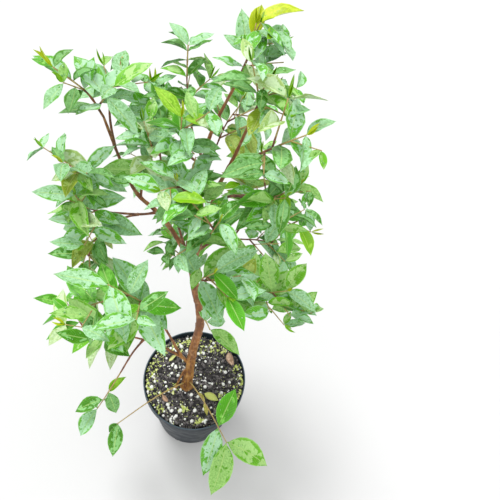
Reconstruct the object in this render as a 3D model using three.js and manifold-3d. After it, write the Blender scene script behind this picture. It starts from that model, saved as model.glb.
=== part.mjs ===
// A potted jabuticaba: a nursery pot filled with mix, a leaning trunk that forks
// into boughs, and masses of opposite, pointed leaves on fine twigs.
// Millimetres, +Z up. The origin is the middle of the pot's flat underside,
// and +Y points away from the side that the plant is seen from.

import * as THREE from 'three';
import { mergeVertices } from 'three/addons/utils/BufferGeometryUtils.js';
import Module from 'manifold-3d';

const wasm = await Module();
wasm.setup();

// Gap left between pieces that touch, and a wider one round a limb that is cut
// clear of another
const CLEARANCE = 0.3;
const LIMB_CLEARANCE = 1.3 * CLEARANCE;

// Pot: a thin tapering wall with a rolled rim band and drain holes in its floor
const POT_HEIGHT = 145;
const POT_RIM_RADIUS = 76;
const POT_BASE_RADIUS = 59;
const POT_WALL = 1.6;
const POT_FLOOR = 2.2;
const POT_CORNER = 3;
const RIM_BAND_HEIGHT = 13;
const RIM_BAND_STEP = 2;
const RIM_EDGE = 1;
const POT_SEGMENTS = 36;
const DRAIN_HOLES = 6;
const DRAIN_HOLE_RADIUS = 5.5;
const DRAIN_CIRCLE_RADIUS = 42;
const DRAIN_SEGMENTS = 8;

// Potting mix: its flat top lies this far below the rim
const SOIL_DEPTH_BELOW_RIM = 14;
const SOIL_TOP = POT_HEIGHT - SOIL_DEPTH_BELOW_RIM;
const SOIL_SEGMENTS = 28;

// Root flare: extra radius at the soil, and the height over which it fades
const FLARE_RADIUS = 3.4;
const FLARE_HEIGHT = 11;

// A limb's taper falls off with this power of the share of its length
const TAPER_POWER = 0.8;

// Twigs are three-sided; leaves are thin blades with a keel under the midrib.
// Widths and stations are fractions of a leaf's length.
const TWIG_SIDES = 3;
const TWIG_STEP = 26;
const TWIG_RADIUS = 1;
const TWIG_TIP_RADIUS = 0.8;
const TRUNK_STEM_RADIUS = 1.15;
const LEAF_ROOT_DEPTH = 0.35;
const LEAF_KEEL = 0.024;
const KEEL_STATION = 0.22;
const LOWER_STATION = 0.33;
const UPPER_STATION = 0.68;
const LOWER_WIDTH = 0.24;
const UPPER_WIDTH = 0.19;

// Colour and roughness of each material
const TRUNK_BARK = { color: 0x8a5a34, roughness: 0.8 };
const BOUGH_BARK = { color: 0x74452a, roughness: 0.8 };
const FOLIAGE = { color: 0x4f9a55, roughness: 0.5 };
const YOUNG_FOLIAGE = { color: 0x93bf3c, roughness: 0.5 };
const POT_PLASTIC = { color: 0x2f3b45, roughness: 0.45 };
const POTTING_MIX = { color: 0x26221e, roughness: 0.95 };

const SKY = new THREE.Vector3(0, 0, 1);
const EAST = new THREE.Vector3(1, 0, 0);

// Limbs: each starts on its parent at a fraction of the parent's length, runs
// through its bends to its tip, and tapers from the foot radius to the tip radius.
const LIMBS = [
  { name: 'trunk', start: [-10, -10, SOIL_TOP + CLEARANCE], sides: 9, steps: 11,
    bends: [[-7, 8, 222], [-2, 18, 288], [-12, 30, 343]], tip: [-26, 45, 398],
    foot: 6.6, end: 4.2 },
  { name: 'leader', parent: 'trunk', along: 1, sides: 7, steps: 9,
    bends: [[-24, 62, 450], [-21, 75, 502], [-16, 88, 535]], tip: [1, 104, 582],
    foot: 3.6, end: 1.3 },
  { name: 'bough_left', parent: 'trunk', along: 0.95, sides: 7, steps: 9,
    bends: [[-57, 56, 430], [-86, 62, 454], [-98, 60, 498]], tip: [-103, 50, 553],
    foot: 3, end: 1.2 },
  { name: 'bough_right', parent: 'trunk', along: 0.9, sides: 7, steps: 9,
    bends: [[-9, 44, 440], [-1, 47, 498], [11, 52, 540]], tip: [22, 60, 584],
    foot: 3, end: 1.2 },
  { name: 'low_bough', parent: 'trunk', along: 0.14, sides: 6, steps: 7,
    bends: [[-24, 2, 216], [-34, -8, 284]], tip: [-38, -32, 378],
    foot: 2.6, end: 1.2 },
  { name: 'low_side_bough', parent: 'low_bough', along: 0.2, sides: 5, steps: 4,
    bends: [[-50, -18, 278]], tip: [-74, -34, 318], foot: 1.8, end: 1.1 },
  { name: 'hanging_limb', parent: 'low_side_bough', along: 0.72, sides: 5, steps: 4,
    bends: [[-68, -46, 300]], tip: [-80, -60, 270], foot: 1.3, end: 0.95 },
  { name: 'cross_limb', parent: 'trunk', along: 0.74, sides: 5, steps: 4,
    bends: [[10, 27, 352]], tip: [36, 18, 374], foot: 1.7, end: 1.05 },
  { name: 'front_limb', parent: 'trunk', along: 0.8, sides: 5, steps: 4,
    bends: [[-12, 16, 384]], tip: [-6, -2, 414], foot: 1.7, end: 1.05 },
  { name: 'front_upper_limb', parent: 'trunk', along: 0.985, sides: 5, steps: 4,
    bends: [[-16, 22, 430]], tip: [-3, 2, 474], foot: 1.7, end: 1.05 },
  { name: 'middle_limb', parent: 'bough_right', along: 0.26, sides: 5, steps: 4,
    bends: [[-18, 38, 468]], tip: [-22, 30, 492], foot: 1.6, end: 1.05 },
  { name: 'middle_left_limb', parent: 'bough_left', along: 0.46, sides: 5, steps: 4,
    bends: [[-79, 62, 468]], tip: [-73, 60, 492], foot: 1.4, end: 1 },
  { name: 'upper_left_limb', parent: 'bough_left', along: 0.84, sides: 5, steps: 4,
    bends: [[-105, 66, 541]], tip: [-107, 78, 556], foot: 1.2, end: 0.95 },
  { name: 'left_upper_limb', parent: 'bough_left', along: 0.72, sides: 5, steps: 4,
    bends: [[-101, 45, 501]], tip: [-108, 32, 507], foot: 1.2, end: 0.95 },
  { name: 'left_limb', parent: 'bough_left', along: 0.3, sides: 5, steps: 4,
    bends: [[-76, 42, 446]], tip: [-98, 27, 458], foot: 1.5, end: 1 },
  { name: 'left_hanging_limb', parent: 'left_limb', along: 0.55, sides: 5, steps: 4,
    bends: [[-88, 28, 452]], tip: [-100, 16, 446], foot: 1.1, end: 0.9 },
  { name: 'middle_shoot_limb', parent: 'leader', along: 0.52, sides: 5, steps: 4,
    bends: [[-34, 90, 516]], tip: [-43, 108, 532], foot: 1.4, end: 0.95 },
  { name: 'left_shoot_limb', parent: 'bough_left', along: 0.22, sides: 5, steps: 4,
    bends: [[-58, 74, 455], [-68, 90, 482]], tip: [-73, 100, 514], foot: 1.5, end: 0.95 },
  { name: 'bright_shoot_limb', parent: 'leader', along: 0.5, sides: 5, steps: 4,
    bends: [[-27, 60, 518]], tip: [-32, 50, 536], foot: 1.4, end: 0.95 },
  { name: 'right_upper_limb', parent: 'bough_right', along: 0.6, sides: 5, steps: 4,
    bends: [[14, 40, 540]], tip: [30, 32, 562], foot: 1.4, end: 1 },
  { name: 'right_limb', parent: 'bough_right', along: 0.42, sides: 5, steps: 4,
    bends: [[14, 42, 500]], tip: [30, 36, 508], foot: 1.5, end: 1 },
  { name: 'right_tip_limb', parent: 'right_limb', along: 0.55, sides: 5, steps: 4,
    bends: [[30, 48, 498]], tip: [52, 50, 482], foot: 1.1, end: 0.9 },
  { name: 'right_lower_limb', parent: 'bough_right', along: 0.12, sides: 5, steps: 4,
    bends: [[2, 58, 408]], tip: [28, 74, 400], foot: 1.6, end: 1 },
  { name: 'back_left_limb', parent: 'trunk', along: 0.86, sides: 5, steps: 4,
    bends: [[-46, 76, 398]], tip: [-66, 104, 428], foot: 1.8, end: 1.05 },
  { name: 'back_right_limb', parent: 'trunk', along: 0.7, sides: 5, steps: 4,
    bends: [[6, 66, 366]], tip: [26, 98, 398], foot: 1.8, end: 1.05 },
  { name: 'back_upper_limb', parent: 'leader', along: 0.3, sides: 5, steps: 4,
    bends: [[-20, 88, 470]], tip: [-16, 112, 492], foot: 1.5, end: 1 },
  { name: 'back_low_limb', parent: 'trunk', along: 0.56, sides: 5, steps: 4,
    bends: [[-18, 44, 306]], tip: [-28, 64, 326], foot: 1.6, end: 1 },
];

// Foliage: each mass continues from its limb's tip, or leaves the trunk at a
// fraction of its length, and its stem runs to the tip given. Leaf is the usual
// length of a leaf, nodes the number of pairs along the stem, reach how far from
// the stem its twigs and leaves may go, and bare the share of the stem that
// bears nothing.
const MASSES = [
  { name: 'leaves_top', limb: 'leader', tip: [8, 115, 625],
    leaf: 34, nodes: 4, reach: 42, seed: 467, young: true },
  { name: 'leaves_upper_right', limb: 'bough_right', tip: [31, 66, 600],
    leaf: 34, nodes: 4, reach: 42, seed: 1149 },
  { name: 'leaves_right_upper', limb: 'right_upper_limb', tip: [64, 26, 596],
    leaf: 38, nodes: 4, reach: 44, seed: 1149 },
  { name: 'leaves_right', limb: 'right_limb', tip: [68, 24, 546],
    leaf: 35, nodes: 4, reach: 42, seed: 904 },
  { name: 'leaves_right_tip', limb: 'right_tip_limb', tip: [98, 56, 458],
    leaf: 34, nodes: 4, reach: 40, seed: 29 },
  { name: 'leaves_right_lower', limb: 'right_lower_limb', tip: [78, 92, 378],
    leaf: 45, nodes: 4, reach: 54, seed: 1401 },
  { name: 'leaves_front_upper', limb: 'front_upper_limb', tip: [12, -12, 524],
    leaf: 38, nodes: 4, reach: 46, seed: 848 },
  { name: 'leaves_front', limb: 'front_limb', tip: [14, -26, 470],
    leaf: 46, nodes: 4, reach: 54, seed: 148 },
  { name: 'leaves_middle', limb: 'middle_limb', tip: [-30, 14, 534],
    leaf: 36, nodes: 4, reach: 44, seed: 750 },
  { name: 'leaves_middle_left', limb: 'middle_left_limb', tip: [-60, 58, 528],
    leaf: 36, nodes: 4, reach: 44, seed: 1506 },
  { name: 'leaves_right_low', limb: 'cross_limb', tip: [86, 2, 424],
    leaf: 45, nodes: 4, reach: 54, seed: 1478 },
  { name: 'leaves_on_trunk', trunkAt: 0.56, tip: [13, 8, 292],
    leaf: 46, nodes: 1, reach: 58, bare: 0.6, seed: 85 },
  { name: 'leaves_middle_shoot', limb: 'middle_shoot_limb', tip: [-52, 134, 584],
    leaf: 36, nodes: 4, reach: 42, seed: 967 },
  { name: 'leaves_left_shoot', limb: 'left_shoot_limb', tip: [-79, 112, 550],
    leaf: 33, nodes: 4, reach: 38, seed: 1429 },
  { name: 'leaves_bright_shoot', limb: 'bright_shoot_limb', tip: [-34, 44, 574],
    leaf: 33, nodes: 3, reach: 40, seed: 1534, young: true },
  { name: 'leaves_upper_left', limb: 'bough_left', tip: [-132, 40, 598],
    leaf: 38, nodes: 4, reach: 48, seed: 197 },
  { name: 'leaves_upper_left_inner', limb: 'upper_left_limb', tip: [-100, 88, 566],
    leaf: 36, nodes: 3, reach: 44, seed: 729 },
  { name: 'leaves_left_upper', limb: 'left_upper_limb', tip: [-128, 14, 526],
    leaf: 37, nodes: 4, reach: 44, seed: 274 },
  { name: 'leaves_left', limb: 'left_limb', tip: [-128, 8, 486],
    leaf: 42, nodes: 4, reach: 50, seed: 554 },
  { name: 'leaves_left_hanging', limb: 'left_hanging_limb', tip: [-126, -2, 402],
    leaf: 34, nodes: 4, reach: 40, seed: 484 },
  { name: 'leaves_low_front', limb: 'low_bough', tip: [-72, -56, 464],
    leaf: 50, nodes: 4, reach: 58, seed: 239 },
  { name: 'leaves_low_left', limb: 'low_side_bough', tip: [-136, -50, 350],
    leaf: 44, nodes: 5, reach: 54, seed: 806 },
  { name: 'leaves_low_hanging', limb: 'hanging_limb', tip: [-112, -84, 186],
    leaf: 42, nodes: 2, reach: 46, bare: 0.45, seed: 239 },
  { name: 'leaves_foot_left', trunkAt: 0.035, tip: [-87, -90, 155],
    leaf: 54, nodes: 0, reach: 58, bare: 0.9, seed: 765 },
  { name: 'leaves_foot_right', trunkAt: 0.05, tip: [65, -84, 153],
    leaf: 76, nodes: 1, reach: 90, bare: 0.8, seed: 882 },
  { name: 'leaves_back_left', limb: 'back_left_limb', tip: [-90, 146, 470],
    leaf: 45, nodes: 4, reach: 54, seed: 1198 },
  { name: 'leaves_back_right', limb: 'back_right_limb', tip: [52, 142, 438],
    leaf: 45, nodes: 4, reach: 54, seed: 1261 },
  { name: 'leaves_back_upper', limb: 'back_upper_limb', tip: [0, 156, 520],
    leaf: 40, nodes: 4, reach: 48, seed: 589 },
  { name: 'leaves_back_low', limb: 'back_low_limb', tip: [-46, 112, 352],
    leaf: 45, nodes: 4, reach: 54, seed: 1485 },
];

// How the foliage branches. Side twigs take the place of this share of a stem's
// leaves, each with its own pairs of smaller leaves.
const TWIG_SHARE = 0.4;
const FEWEST_NODES_FOR_TWIGS = 3;
const TWIG_NODES = 2;
const TWIG_LEAF_SHARE = 0.92;
const DRAWS_PER_ORGAN = 6;

// Where the pairs stand, as fractions of their twig's length
const BARE_SHARE = 0.2;
const LAST_NODE = 0.9;
const TIP_NODE = 0.985;

// Ranges that a side twig's shape is drawn from: its length in leaves and what is
// left of that at the stem's tip, its angle to the stem in degrees, and how far it
// falls at its root and along its length
const TWIG_LENGTH = [0.805, 1.3225];
const TWIG_LENGTH_AT_TIP = 0.75;
const TWIG_SPREAD = [38.4, 60];
const TWIG_FALL = [-0.25, 0.2];
const TWIG_SAG = [0, 0.25];

// A stem that leaves the trunk rises by this much for each step outwards
const TRUNK_STEM_RISE = 0.6;

// Ranges that a leaf's shape is drawn from: its length as a share of the usual one
// and what is left of that at the twig's tip, its angle to the twig and its lean in
// degrees, its fall at the root, and its droop along its length
const LEAF_LENGTH = [0.78, 1.15];
const LEAF_LENGTH_AT_TIP = 0.8;
const LEAF_SPREAD = [49.5, 79.2];
const LEAF_LEAN = [-24, 24];
const LEAF_FALL = [-0.114, 0.608];
const LEAF_DROOP = [0.04, 0.22];
const FACE_FORWARD = 0.35;

// Pairs lie level on a twig flatter than the first steepness, cross at right
// angles on one steeper than the second, and are turned a little at random
const PAIR_JITTER = [-16, 16];
const LEVEL_STEEPNESS = 0.45;
const CROSSED_STEEPNESS = 0.85;

// A direction this near to upright has no level of its own
const UPRIGHT = 0.95;

// Length at a side twig's foot where its leaves may touch the stem
const FOOT_ROOM = 4;

const vector = (p) => new THREE.Vector3(p[0], p[1], p[2]);
const mix = (a, b, t) => a + (b - a) * t;
const drawn = ([least, most], draw) => mix(least, most, draw);
const radians = (degrees) => (degrees * Math.PI) / 180;

// A seeded generator of numbers from 0 to 1
function seededRandom(seed) {
  let state = seed;
  return () => {
    state = (state * 48271) % 2147483647;
    return state / 2147483647;
  };
}

// A smooth route through its points, from 0 to 1
function routePoint(points, t) {
  const span = (points.length - 1) * Math.min(Math.max(t, 0), 1);
  const i = Math.min(Math.floor(span), points.length - 2);
  const u = span - i;
  const p1 = points[i];
  const p2 = points[i + 1];
  const p0 = i > 0 ? points[i - 1] : p1.clone().multiplyScalar(2).sub(p2);
  const p3 = i + 2 < points.length ? points[i + 2] : p2.clone().multiplyScalar(2).sub(p1);
  return new THREE.Vector3()
    .addScaledVector(p0, 0.5 * (-u + 2 * u * u - u * u * u))
    .addScaledVector(p1, 0.5 * (2 - 5 * u * u + 3 * u * u * u))
    .addScaledVector(p2, 0.5 * (u + 4 * u * u - 3 * u * u * u))
    .addScaledVector(p3, 0.5 * (-u * u + u * u * u));
}

function routeDirection(points, t) {
  const step = 0.001;
  const ahead = routePoint(points, Math.min(t + step, 1));
  return ahead.sub(routePoint(points, Math.max(t - step, 0))).normalize();
}

function routeLength(points) {
  let length = 0;
  for (let i = 1; i < points.length; i += 1) length += points[i].distanceTo(points[i - 1]);
  return length;
}

// A unit vector square to a direction, and as near as possible to the one wished
function squareTo(direction, wish) {
  return wish.clone().addScaledVector(direction, -wish.dot(direction)).normalize();
}

// A closed tapering tube with flat ends. Its rings follow the route, and the
// first one faces the direction given.
function tubePiece(points, radiusAt, sides, steps, firstDirection) {
  const corners = [];
  const triangles = [];
  let side = squareTo(firstDirection, Math.abs(firstDirection.z) < UPRIGHT ? SKY : EAST);
  for (let j = 0; j <= steps; j += 1) {
    const t = j / steps;
    const direction = j === 0 ? firstDirection : routeDirection(points, t);
    side = squareTo(direction, side);
    const other = direction.clone().cross(side);
    const centre = routePoint(points, t);
    for (let i = 0; i < sides; i += 1) {
      const turn = (2 * Math.PI * i) / sides;
      corners.push(centre.clone()
        .addScaledVector(side, radiusAt(t) * Math.cos(turn))
        .addScaledVector(other, radiusAt(t) * Math.sin(turn)));
    }
  }
  for (let j = 0; j < steps; j += 1) {
    for (let i = 0; i < sides; i += 1) {
      const a = j * sides + i;
      const b = j * sides + ((i + 1) % sides);
      triangles.push([a, b, b + sides], [a, b + sides, a + sides]);
    }
  }
  const last = steps * sides;
  for (let i = 1; i < sides - 1; i += 1) {
    triangles.push([0, i + 1, i], [last, last + i, last + i + 1]);
  }
  return { corners, triangles };
}

// A leaf blade: flat across, keeled under its midrib and drooping towards its
// pointed tip. The point at its root is sunk in the twig that bears it. Grow
// thickens and widens the blade.
function leafPiece(leaf, grow) {
  const { root, direction, face, length, droop } = leaf;
  const across = face.clone().cross(direction);
  const place = (t, width, depth) => root.clone()
    .addScaledVector(direction, t * length)
    .addScaledVector(face, grow - droop * length * t * t - depth)
    .addScaledVector(across, width);
  const lower = LOWER_WIDTH * length + grow;
  const upper = UPPER_WIDTH * length + grow;
  const corners = [
    place(-LEAF_ROOT_DEPTH / length, 0, grow),
    place(LOWER_STATION, lower, 0),
    place(LOWER_STATION, -lower, 0),
    place(KEEL_STATION, 0, LEAF_KEEL * length + 2 * grow),
    place(UPPER_STATION, upper, 0),
    place(UPPER_STATION, -upper, 0),
    place(UPPER_STATION, 0, LEAF_KEEL * length + 2 * grow),
    place(1 + grow / length, 0, grow),
  ];
  const triangles = [
    [0, 2, 1], [0, 3, 2], [0, 1, 3],
    [1, 2, 5], [1, 5, 4], [2, 3, 6], [2, 6, 5], [3, 1, 4], [3, 4, 6],
    [4, 5, 7], [5, 6, 7], [6, 4, 7],
  ];
  return { corners, triangles };
}

// The box round a piece and its edges, worked out once
function boxOf(piece) {
  piece.box ??= new THREE.Box3().setFromPoints(piece.corners);
  return piece.box;
}

function edgesOf(piece) {
  if (!piece.edges) {
    piece.edges = [];
    for (const [a, b, c] of piece.triangles) {
      for (const [i, j] of [[a, b], [b, c], [c, a]]) {
        if (i < j) piece.edges.push([piece.corners[i], piece.corners[j]]);
      }
    }
  }
  return piece.edges;
}

// Whether the edge between two points passes through the face a, b, c. Its vectors
// are made once, as this is asked millions of times.
const PARALLEL = 1e-9;
const run = new THREE.Vector3();
const firstSide = new THREE.Vector3();
const secondSide = new THREE.Vector3();
const offset = new THREE.Vector3();
const runCross = new THREE.Vector3();
const offsetCross = new THREE.Vector3();

function edgeMeetsFace(from, to, a, b, c) {
  run.subVectors(to, from);
  firstSide.subVectors(b, a);
  secondSide.subVectors(c, a);
  runCross.crossVectors(run, secondSide);
  const slope = firstSide.dot(runCross);
  if (Math.abs(slope) < PARALLEL) return false;
  offset.subVectors(from, a);
  const u = offset.dot(runCross) / slope;
  if (u < 0 || u > 1) return false;
  offsetCross.crossVectors(offset, firstSide);
  const v = run.dot(offsetCross) / slope;
  if (v < 0 || u + v > 1) return false;
  const t = secondSide.dot(offsetCross) / slope;
  return t >= 0 && t <= 1;
}

const edgeBox = new THREE.Box3();

function edgesMeet(one, other) {
  for (const [from, to] of edgesOf(one)) {
    edgeBox.makeEmpty().expandByPoint(from).expandByPoint(to);
    if (!edgeBox.intersectsBox(boxOf(other))) continue;
    for (const [a, b, c] of other.triangles) {
      if (edgeMeetsFace(from, to, other.corners[a], other.corners[b], other.corners[c])) return true;
    }
  }
  return false;
}

// Whether two closed pieces cross: some edge of one passes through a face of the other
function piecesCross(one, other) {
  if (!boxOf(one).intersectsBox(boxOf(other))) return false;
  return edgesMeet(one, other) || edgesMeet(other, one);
}

// Solids for joining and cutting
function solidOf({ corners, triangles }) {
  const mesh = new wasm.Mesh({
    numProp: 3,
    vertProperties: new Float32Array(corners.flatMap((p) => [p.x, p.y, p.z])),
    triVerts: new Uint32Array(triangles.flat()),
  });
  return new wasm.Manifold(mesh);
}

function pieceFromGeometry(geometry) {
  geometry.deleteAttribute('normal');
  geometry.deleteAttribute('uv');
  const merged = mergeVertices(geometry);
  const corners = [];
  for (let i = 0; i < merged.attributes.position.count; i += 1) {
    corners.push(new THREE.Vector3().fromBufferAttribute(merged.attributes.position, i));
  }
  const triangles = [];
  for (let i = 0; i < merged.index.count; i += 3) {
    const [a, b, c] = [merged.index.getX(i), merged.index.getX(i + 1), merged.index.getX(i + 2)];
    if (a !== b && b !== c && c !== a) triangles.push([a, b, c]);
  }
  return { corners, triangles };
}

function meshOf(name, solid, finish) {
  const { vertProperties, triVerts } = solid.getMesh();
  const geometry = new THREE.BufferGeometry();
  geometry.setAttribute('position', new THREE.BufferAttribute(vertProperties, 3));
  geometry.setIndex(new THREE.BufferAttribute(triVerts, 1));
  geometry.computeVertexNormals();
  const material = new THREE.MeshStandardMaterial({ ...finish, metalness: 0 });
  const mesh = new THREE.Mesh(geometry, material);
  mesh.name = name;
  return mesh;
}

// Turned pieces: a profile of [radius, height] pairs about the Z axis
function turnedPiece(profile, segments) {
  const geometry = new THREE.LatheGeometry(profile.map(([r, z]) => new THREE.Vector2(r, z)), segments);
  geometry.rotateX(Math.PI / 2);
  return pieceFromGeometry(geometry);
}

function outerRadiusAt(height) {
  return mix(POT_BASE_RADIUS, POT_RIM_RADIUS - RIM_BAND_STEP, height / POT_HEIGHT);
}

function potPiece() {
  const bandFoot = POT_HEIGHT - RIM_BAND_HEIGHT;
  const insideRim = POT_RIM_RADIUS - RIM_BAND_STEP - POT_WALL;
  return turnedPiece([
    [0, 0],
    [POT_BASE_RADIUS - POT_CORNER, 0],
    [outerRadiusAt(POT_CORNER), POT_CORNER],
    [outerRadiusAt(bandFoot), bandFoot],
    [POT_RIM_RADIUS, bandFoot + RIM_BAND_STEP],
    [POT_RIM_RADIUS, POT_HEIGHT - RIM_EDGE],
    [POT_RIM_RADIUS - RIM_EDGE, POT_HEIGHT],
    [insideRim, POT_HEIGHT],
    [outerRadiusAt(POT_FLOOR) - POT_WALL, POT_FLOOR],
    [0, POT_FLOOR],
  ], POT_SEGMENTS);
}

function potSolid(pot) {
  let solid = solidOf(pot);
  for (let i = 0; i < DRAIN_HOLES; i += 1) {
    const turn = (2 * Math.PI * (i + 0.5)) / DRAIN_HOLES;
    const x = DRAIN_CIRCLE_RADIUS * Math.cos(turn);
    const y = DRAIN_CIRCLE_RADIUS * Math.sin(turn);
    const drill = new THREE.CylinderGeometry(
      DRAIN_HOLE_RADIUS, DRAIN_HOLE_RADIUS, 4 * POT_FLOOR, DRAIN_SEGMENTS);
    drill.rotateX(Math.PI / 2);
    drill.translate(x, y, POT_FLOOR / 2);
    solid = solid.subtract(solidOf(pieceFromGeometry(drill)));
  }
  return solid;
}

function soilPiece() {
  const gap = POT_WALL + 2 * CLEARANCE;
  const foot = POT_FLOOR + CLEARANCE;
  return turnedPiece([
    [0, foot],
    [outerRadiusAt(foot) - gap, foot],
    [outerRadiusAt(SOIL_TOP) - gap, SOIL_TOP],
    [0, SOIL_TOP],
  ], SOIL_SEGMENTS);
}

// A limb's radius along its length, with the root flare at the trunk's foot
function limbRadius(limb, length) {
  const flare = limb.parent ? 0 : FLARE_RADIUS;
  const flareAt = (t) => flare * Math.exp((-t * length) / FLARE_HEIGHT);
  return (t) => mix(limb.foot, limb.end, t ** TAPER_POWER) + flareAt(t);
}

// Each limb is cut clear of the ones before it. One that carries on from its
// parent's tip starts clear of it, in the same direction.
function growLimbs() {
  const limbs = new Map();
  for (const limb of LIMBS) {
    const parent = limbs.get(limb.parent);
    const atTip = limb.along === 1;
    let start = vector(limb.start ?? [0, 0, 0]);
    let firstDirection = SKY.clone();
    if (parent) {
      start = routePoint(parent.points, limb.along);
      firstDirection = vector(limb.bends[0]).sub(start).normalize();
      if (atTip) {
        firstDirection = routeDirection(parent.points, 1);
        start.addScaledVector(firstDirection, CLEARANCE);
      }
    }
    const points = [start, ...limb.bends.map(vector), vector(limb.tip)];
    const radiusAt = limbRadius(limb, routeLength(points));
    const shape = (grow) => tubePiece(
      points, (t) => radiusAt(t) + grow, limb.sides, limb.steps, firstDirection);
    let solid = solidOf(shape(0));
    for (const [name, earlier] of limbs) {
      if (!(atTip && name === limb.parent)) solid = solid.subtract(earlier.grownSolid);
    }
    const grownSolid = solidOf(shape(LIMB_CLEARANCE));
    limbs.set(limb.name, { points, radiusAt, solid, guard: shape(CLEARANCE), grownSolid });
  }
  return limbs;
}

// The heading of a leaf or side twig that leaves a twig to its left or right
// (side 1 or -1), turned about the twig and pulled down by its fall
function headingFrom(direction, turn, side, spread, fall) {
  const level = Math.abs(direction.z) < UPRIGHT ? SKY.clone().cross(direction).normalize() : EAST.clone();
  const sideways = level.applyAxisAngle(direction, turn).multiplyScalar(side);
  return direction.clone()
    .multiplyScalar(Math.cos(spread))
    .addScaledVector(sideways, Math.sin(spread))
    .addScaledVector(SKY, -fall)
    .normalize();
}

function makeLeaf(root, twigDirection, turn, side, length, draws) {
  const spread = radians(drawn(LEAF_SPREAD, draws[0]));
  const direction = headingFrom(twigDirection, turn, side, spread, drawn(LEAF_FALL, draws[1]));
  const lean = radians(drawn(LEAF_LEAN, draws[2]));
  const wish = SKY.clone().addScaledVector(twigDirection, FACE_FORWARD);
  return {
    root,
    direction,
    face: squareTo(direction, wish).applyAxisAngle(direction, lean),
    length: length * drawn(LEAF_LENGTH, draws[3]),
    droop: drawn(LEAF_DROOP, draws[4]),
  };
}

// The turn of each pair about its twig
function pairTurn(direction, node, jitter) {
  const crossed = THREE.MathUtils.clamp(
    (Math.abs(direction.z) - LEVEL_STEEPNESS) / (CROSSED_STEEPNESS - LEVEL_STEEPNESS), 0, 1);
  return (node % 2) * crossed * (Math.PI / 2) + radians(drawn(PAIR_JITTER, jitter));
}

function nodeStation(node, nodes, bare) {
  return node === nodes ? TIP_NODE : mix(bare, LAST_NODE, node / nodes);
}

// A twig that bends from its first direction to its tip, with a pair of leaves at
// each node and one more pair at its tip
function growTwig(start, firstDirection, tip, shape, random) {
  const { nodes, leaf, radius, bare } = shape;
  const length = tip.distanceTo(start);
  const middle = start.clone().add(tip).multiplyScalar(0.5);
  middle.lerp(start.clone().addScaledVector(firstDirection, length / 2), 0.5);
  const points = [start, middle, tip];
  const leaves = [];
  for (let node = 0; node <= nodes; node += 1) {
    const t = nodeStation(node, nodes, bare);
    const direction = routeDirection(points, t);
    const turn = pairTurn(direction, node, random());
    for (const side of [1, -1]) {
      const draws = Array.from({ length: DRAWS_PER_ORGAN }, random);
      const size = leaf * mix(1, LEAF_LENGTH_AT_TIP, t);
      const grown = makeLeaf(routePoint(points, t), direction, turn, side, size, draws);
      leaves.push({ ...grown, node, side });
    }
  }
  return { points, firstDirection, radius, leaves, length };
}

// The stem of a mass and its side twigs, each twig in place of one of its leaves.
// Every place draws the same count of numbers, whether or not its twig is kept.
function planMass(mass, limbs) {
  const random = seededRandom(mass.seed);
  const limb = limbs.get(mass.limb);
  const tip = vector(mass.tip);
  const bare = mass.bare ?? BARE_SHARE;
  let start = routePoint(limbs.get('trunk').points, mass.trunkAt ?? 0);
  let direction = tip.clone().sub(start).setZ(0).normalize();
  direction.addScaledVector(SKY, TRUNK_STEM_RISE).normalize();
  let radius = TRUNK_STEM_RADIUS;
  if (limb) {
    direction = routeDirection(limb.points, 1);
    start = routePoint(limb.points, 1).addScaledVector(direction, CLEARANCE);
    radius = limb.radiusAt(1);
  }
  const stemShape = { nodes: mass.nodes, leaf: mass.leaf, radius, bare };
  const stem = growTwig(start, direction, tip, stemShape, random);
  const twigs = [stem];
  for (let node = 0; node < mass.nodes; node += 1) {
    for (const side of [1, -1]) {
      const draws = Array.from({ length: DRAWS_PER_ORGAN }, random);
      const t = nodeStation(node, mass.nodes, bare);
      const along = routeDirection(stem.points, t);
      const turn = pairTurn(along, node, draws[1]);
      const spread = radians(drawn(TWIG_SPREAD, draws[2]));
      const heading = headingFrom(along, turn, side, spread, drawn(TWIG_FALL, draws[3]));
      const length = mass.leaf * drawn(TWIG_LENGTH, draws[4]) * mix(1, TWIG_LENGTH_AT_TIP, t);
      const root = routePoint(stem.points, t);
      const end = root.clone()
        .addScaledVector(heading, length)
        .addScaledVector(SKY, -length * drawn(TWIG_SAG, draws[5]));
      const leaf = mass.leaf * TWIG_LEAF_SHARE;
      const shape = { nodes: TWIG_NODES, leaf, radius: TWIG_RADIUS, bare: BARE_SHARE };
      const twig = growTwig(root, heading, end, shape, random);
      if (draws[0] < TWIG_SHARE && mass.nodes >= FEWEST_NODES_FOR_TWIGS) {
        twigs.push(twig);
        stem.leaves = stem.leaves.filter((other) => other.node !== node || other.side !== side);
      }
    }
  }
  return twigs;
}

// Whether a piece keeps within its reach of the straight line from a stem's foot to its tip
function withinReach(piece, stem, reach) {
  const line = new THREE.Line3(stem.points[0], stem.points[2]);
  const nearest = new THREE.Vector3();
  return piece.corners.every(
    (corner) => line.closestPointToPoint(corner, true, nearest).distanceTo(corner) < reach);
}

function twigPiece(twig, grow) {
  const radiusAt = (t) => mix(twig.radius, TWIG_TIP_RADIUS, t) + grow;
  const steps = Math.max(2, Math.round(twig.length / TWIG_STEP));
  return tubePiece(twig.points, radiusAt, TWIG_SIDES, steps, twig.firstDirection);
}

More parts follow.
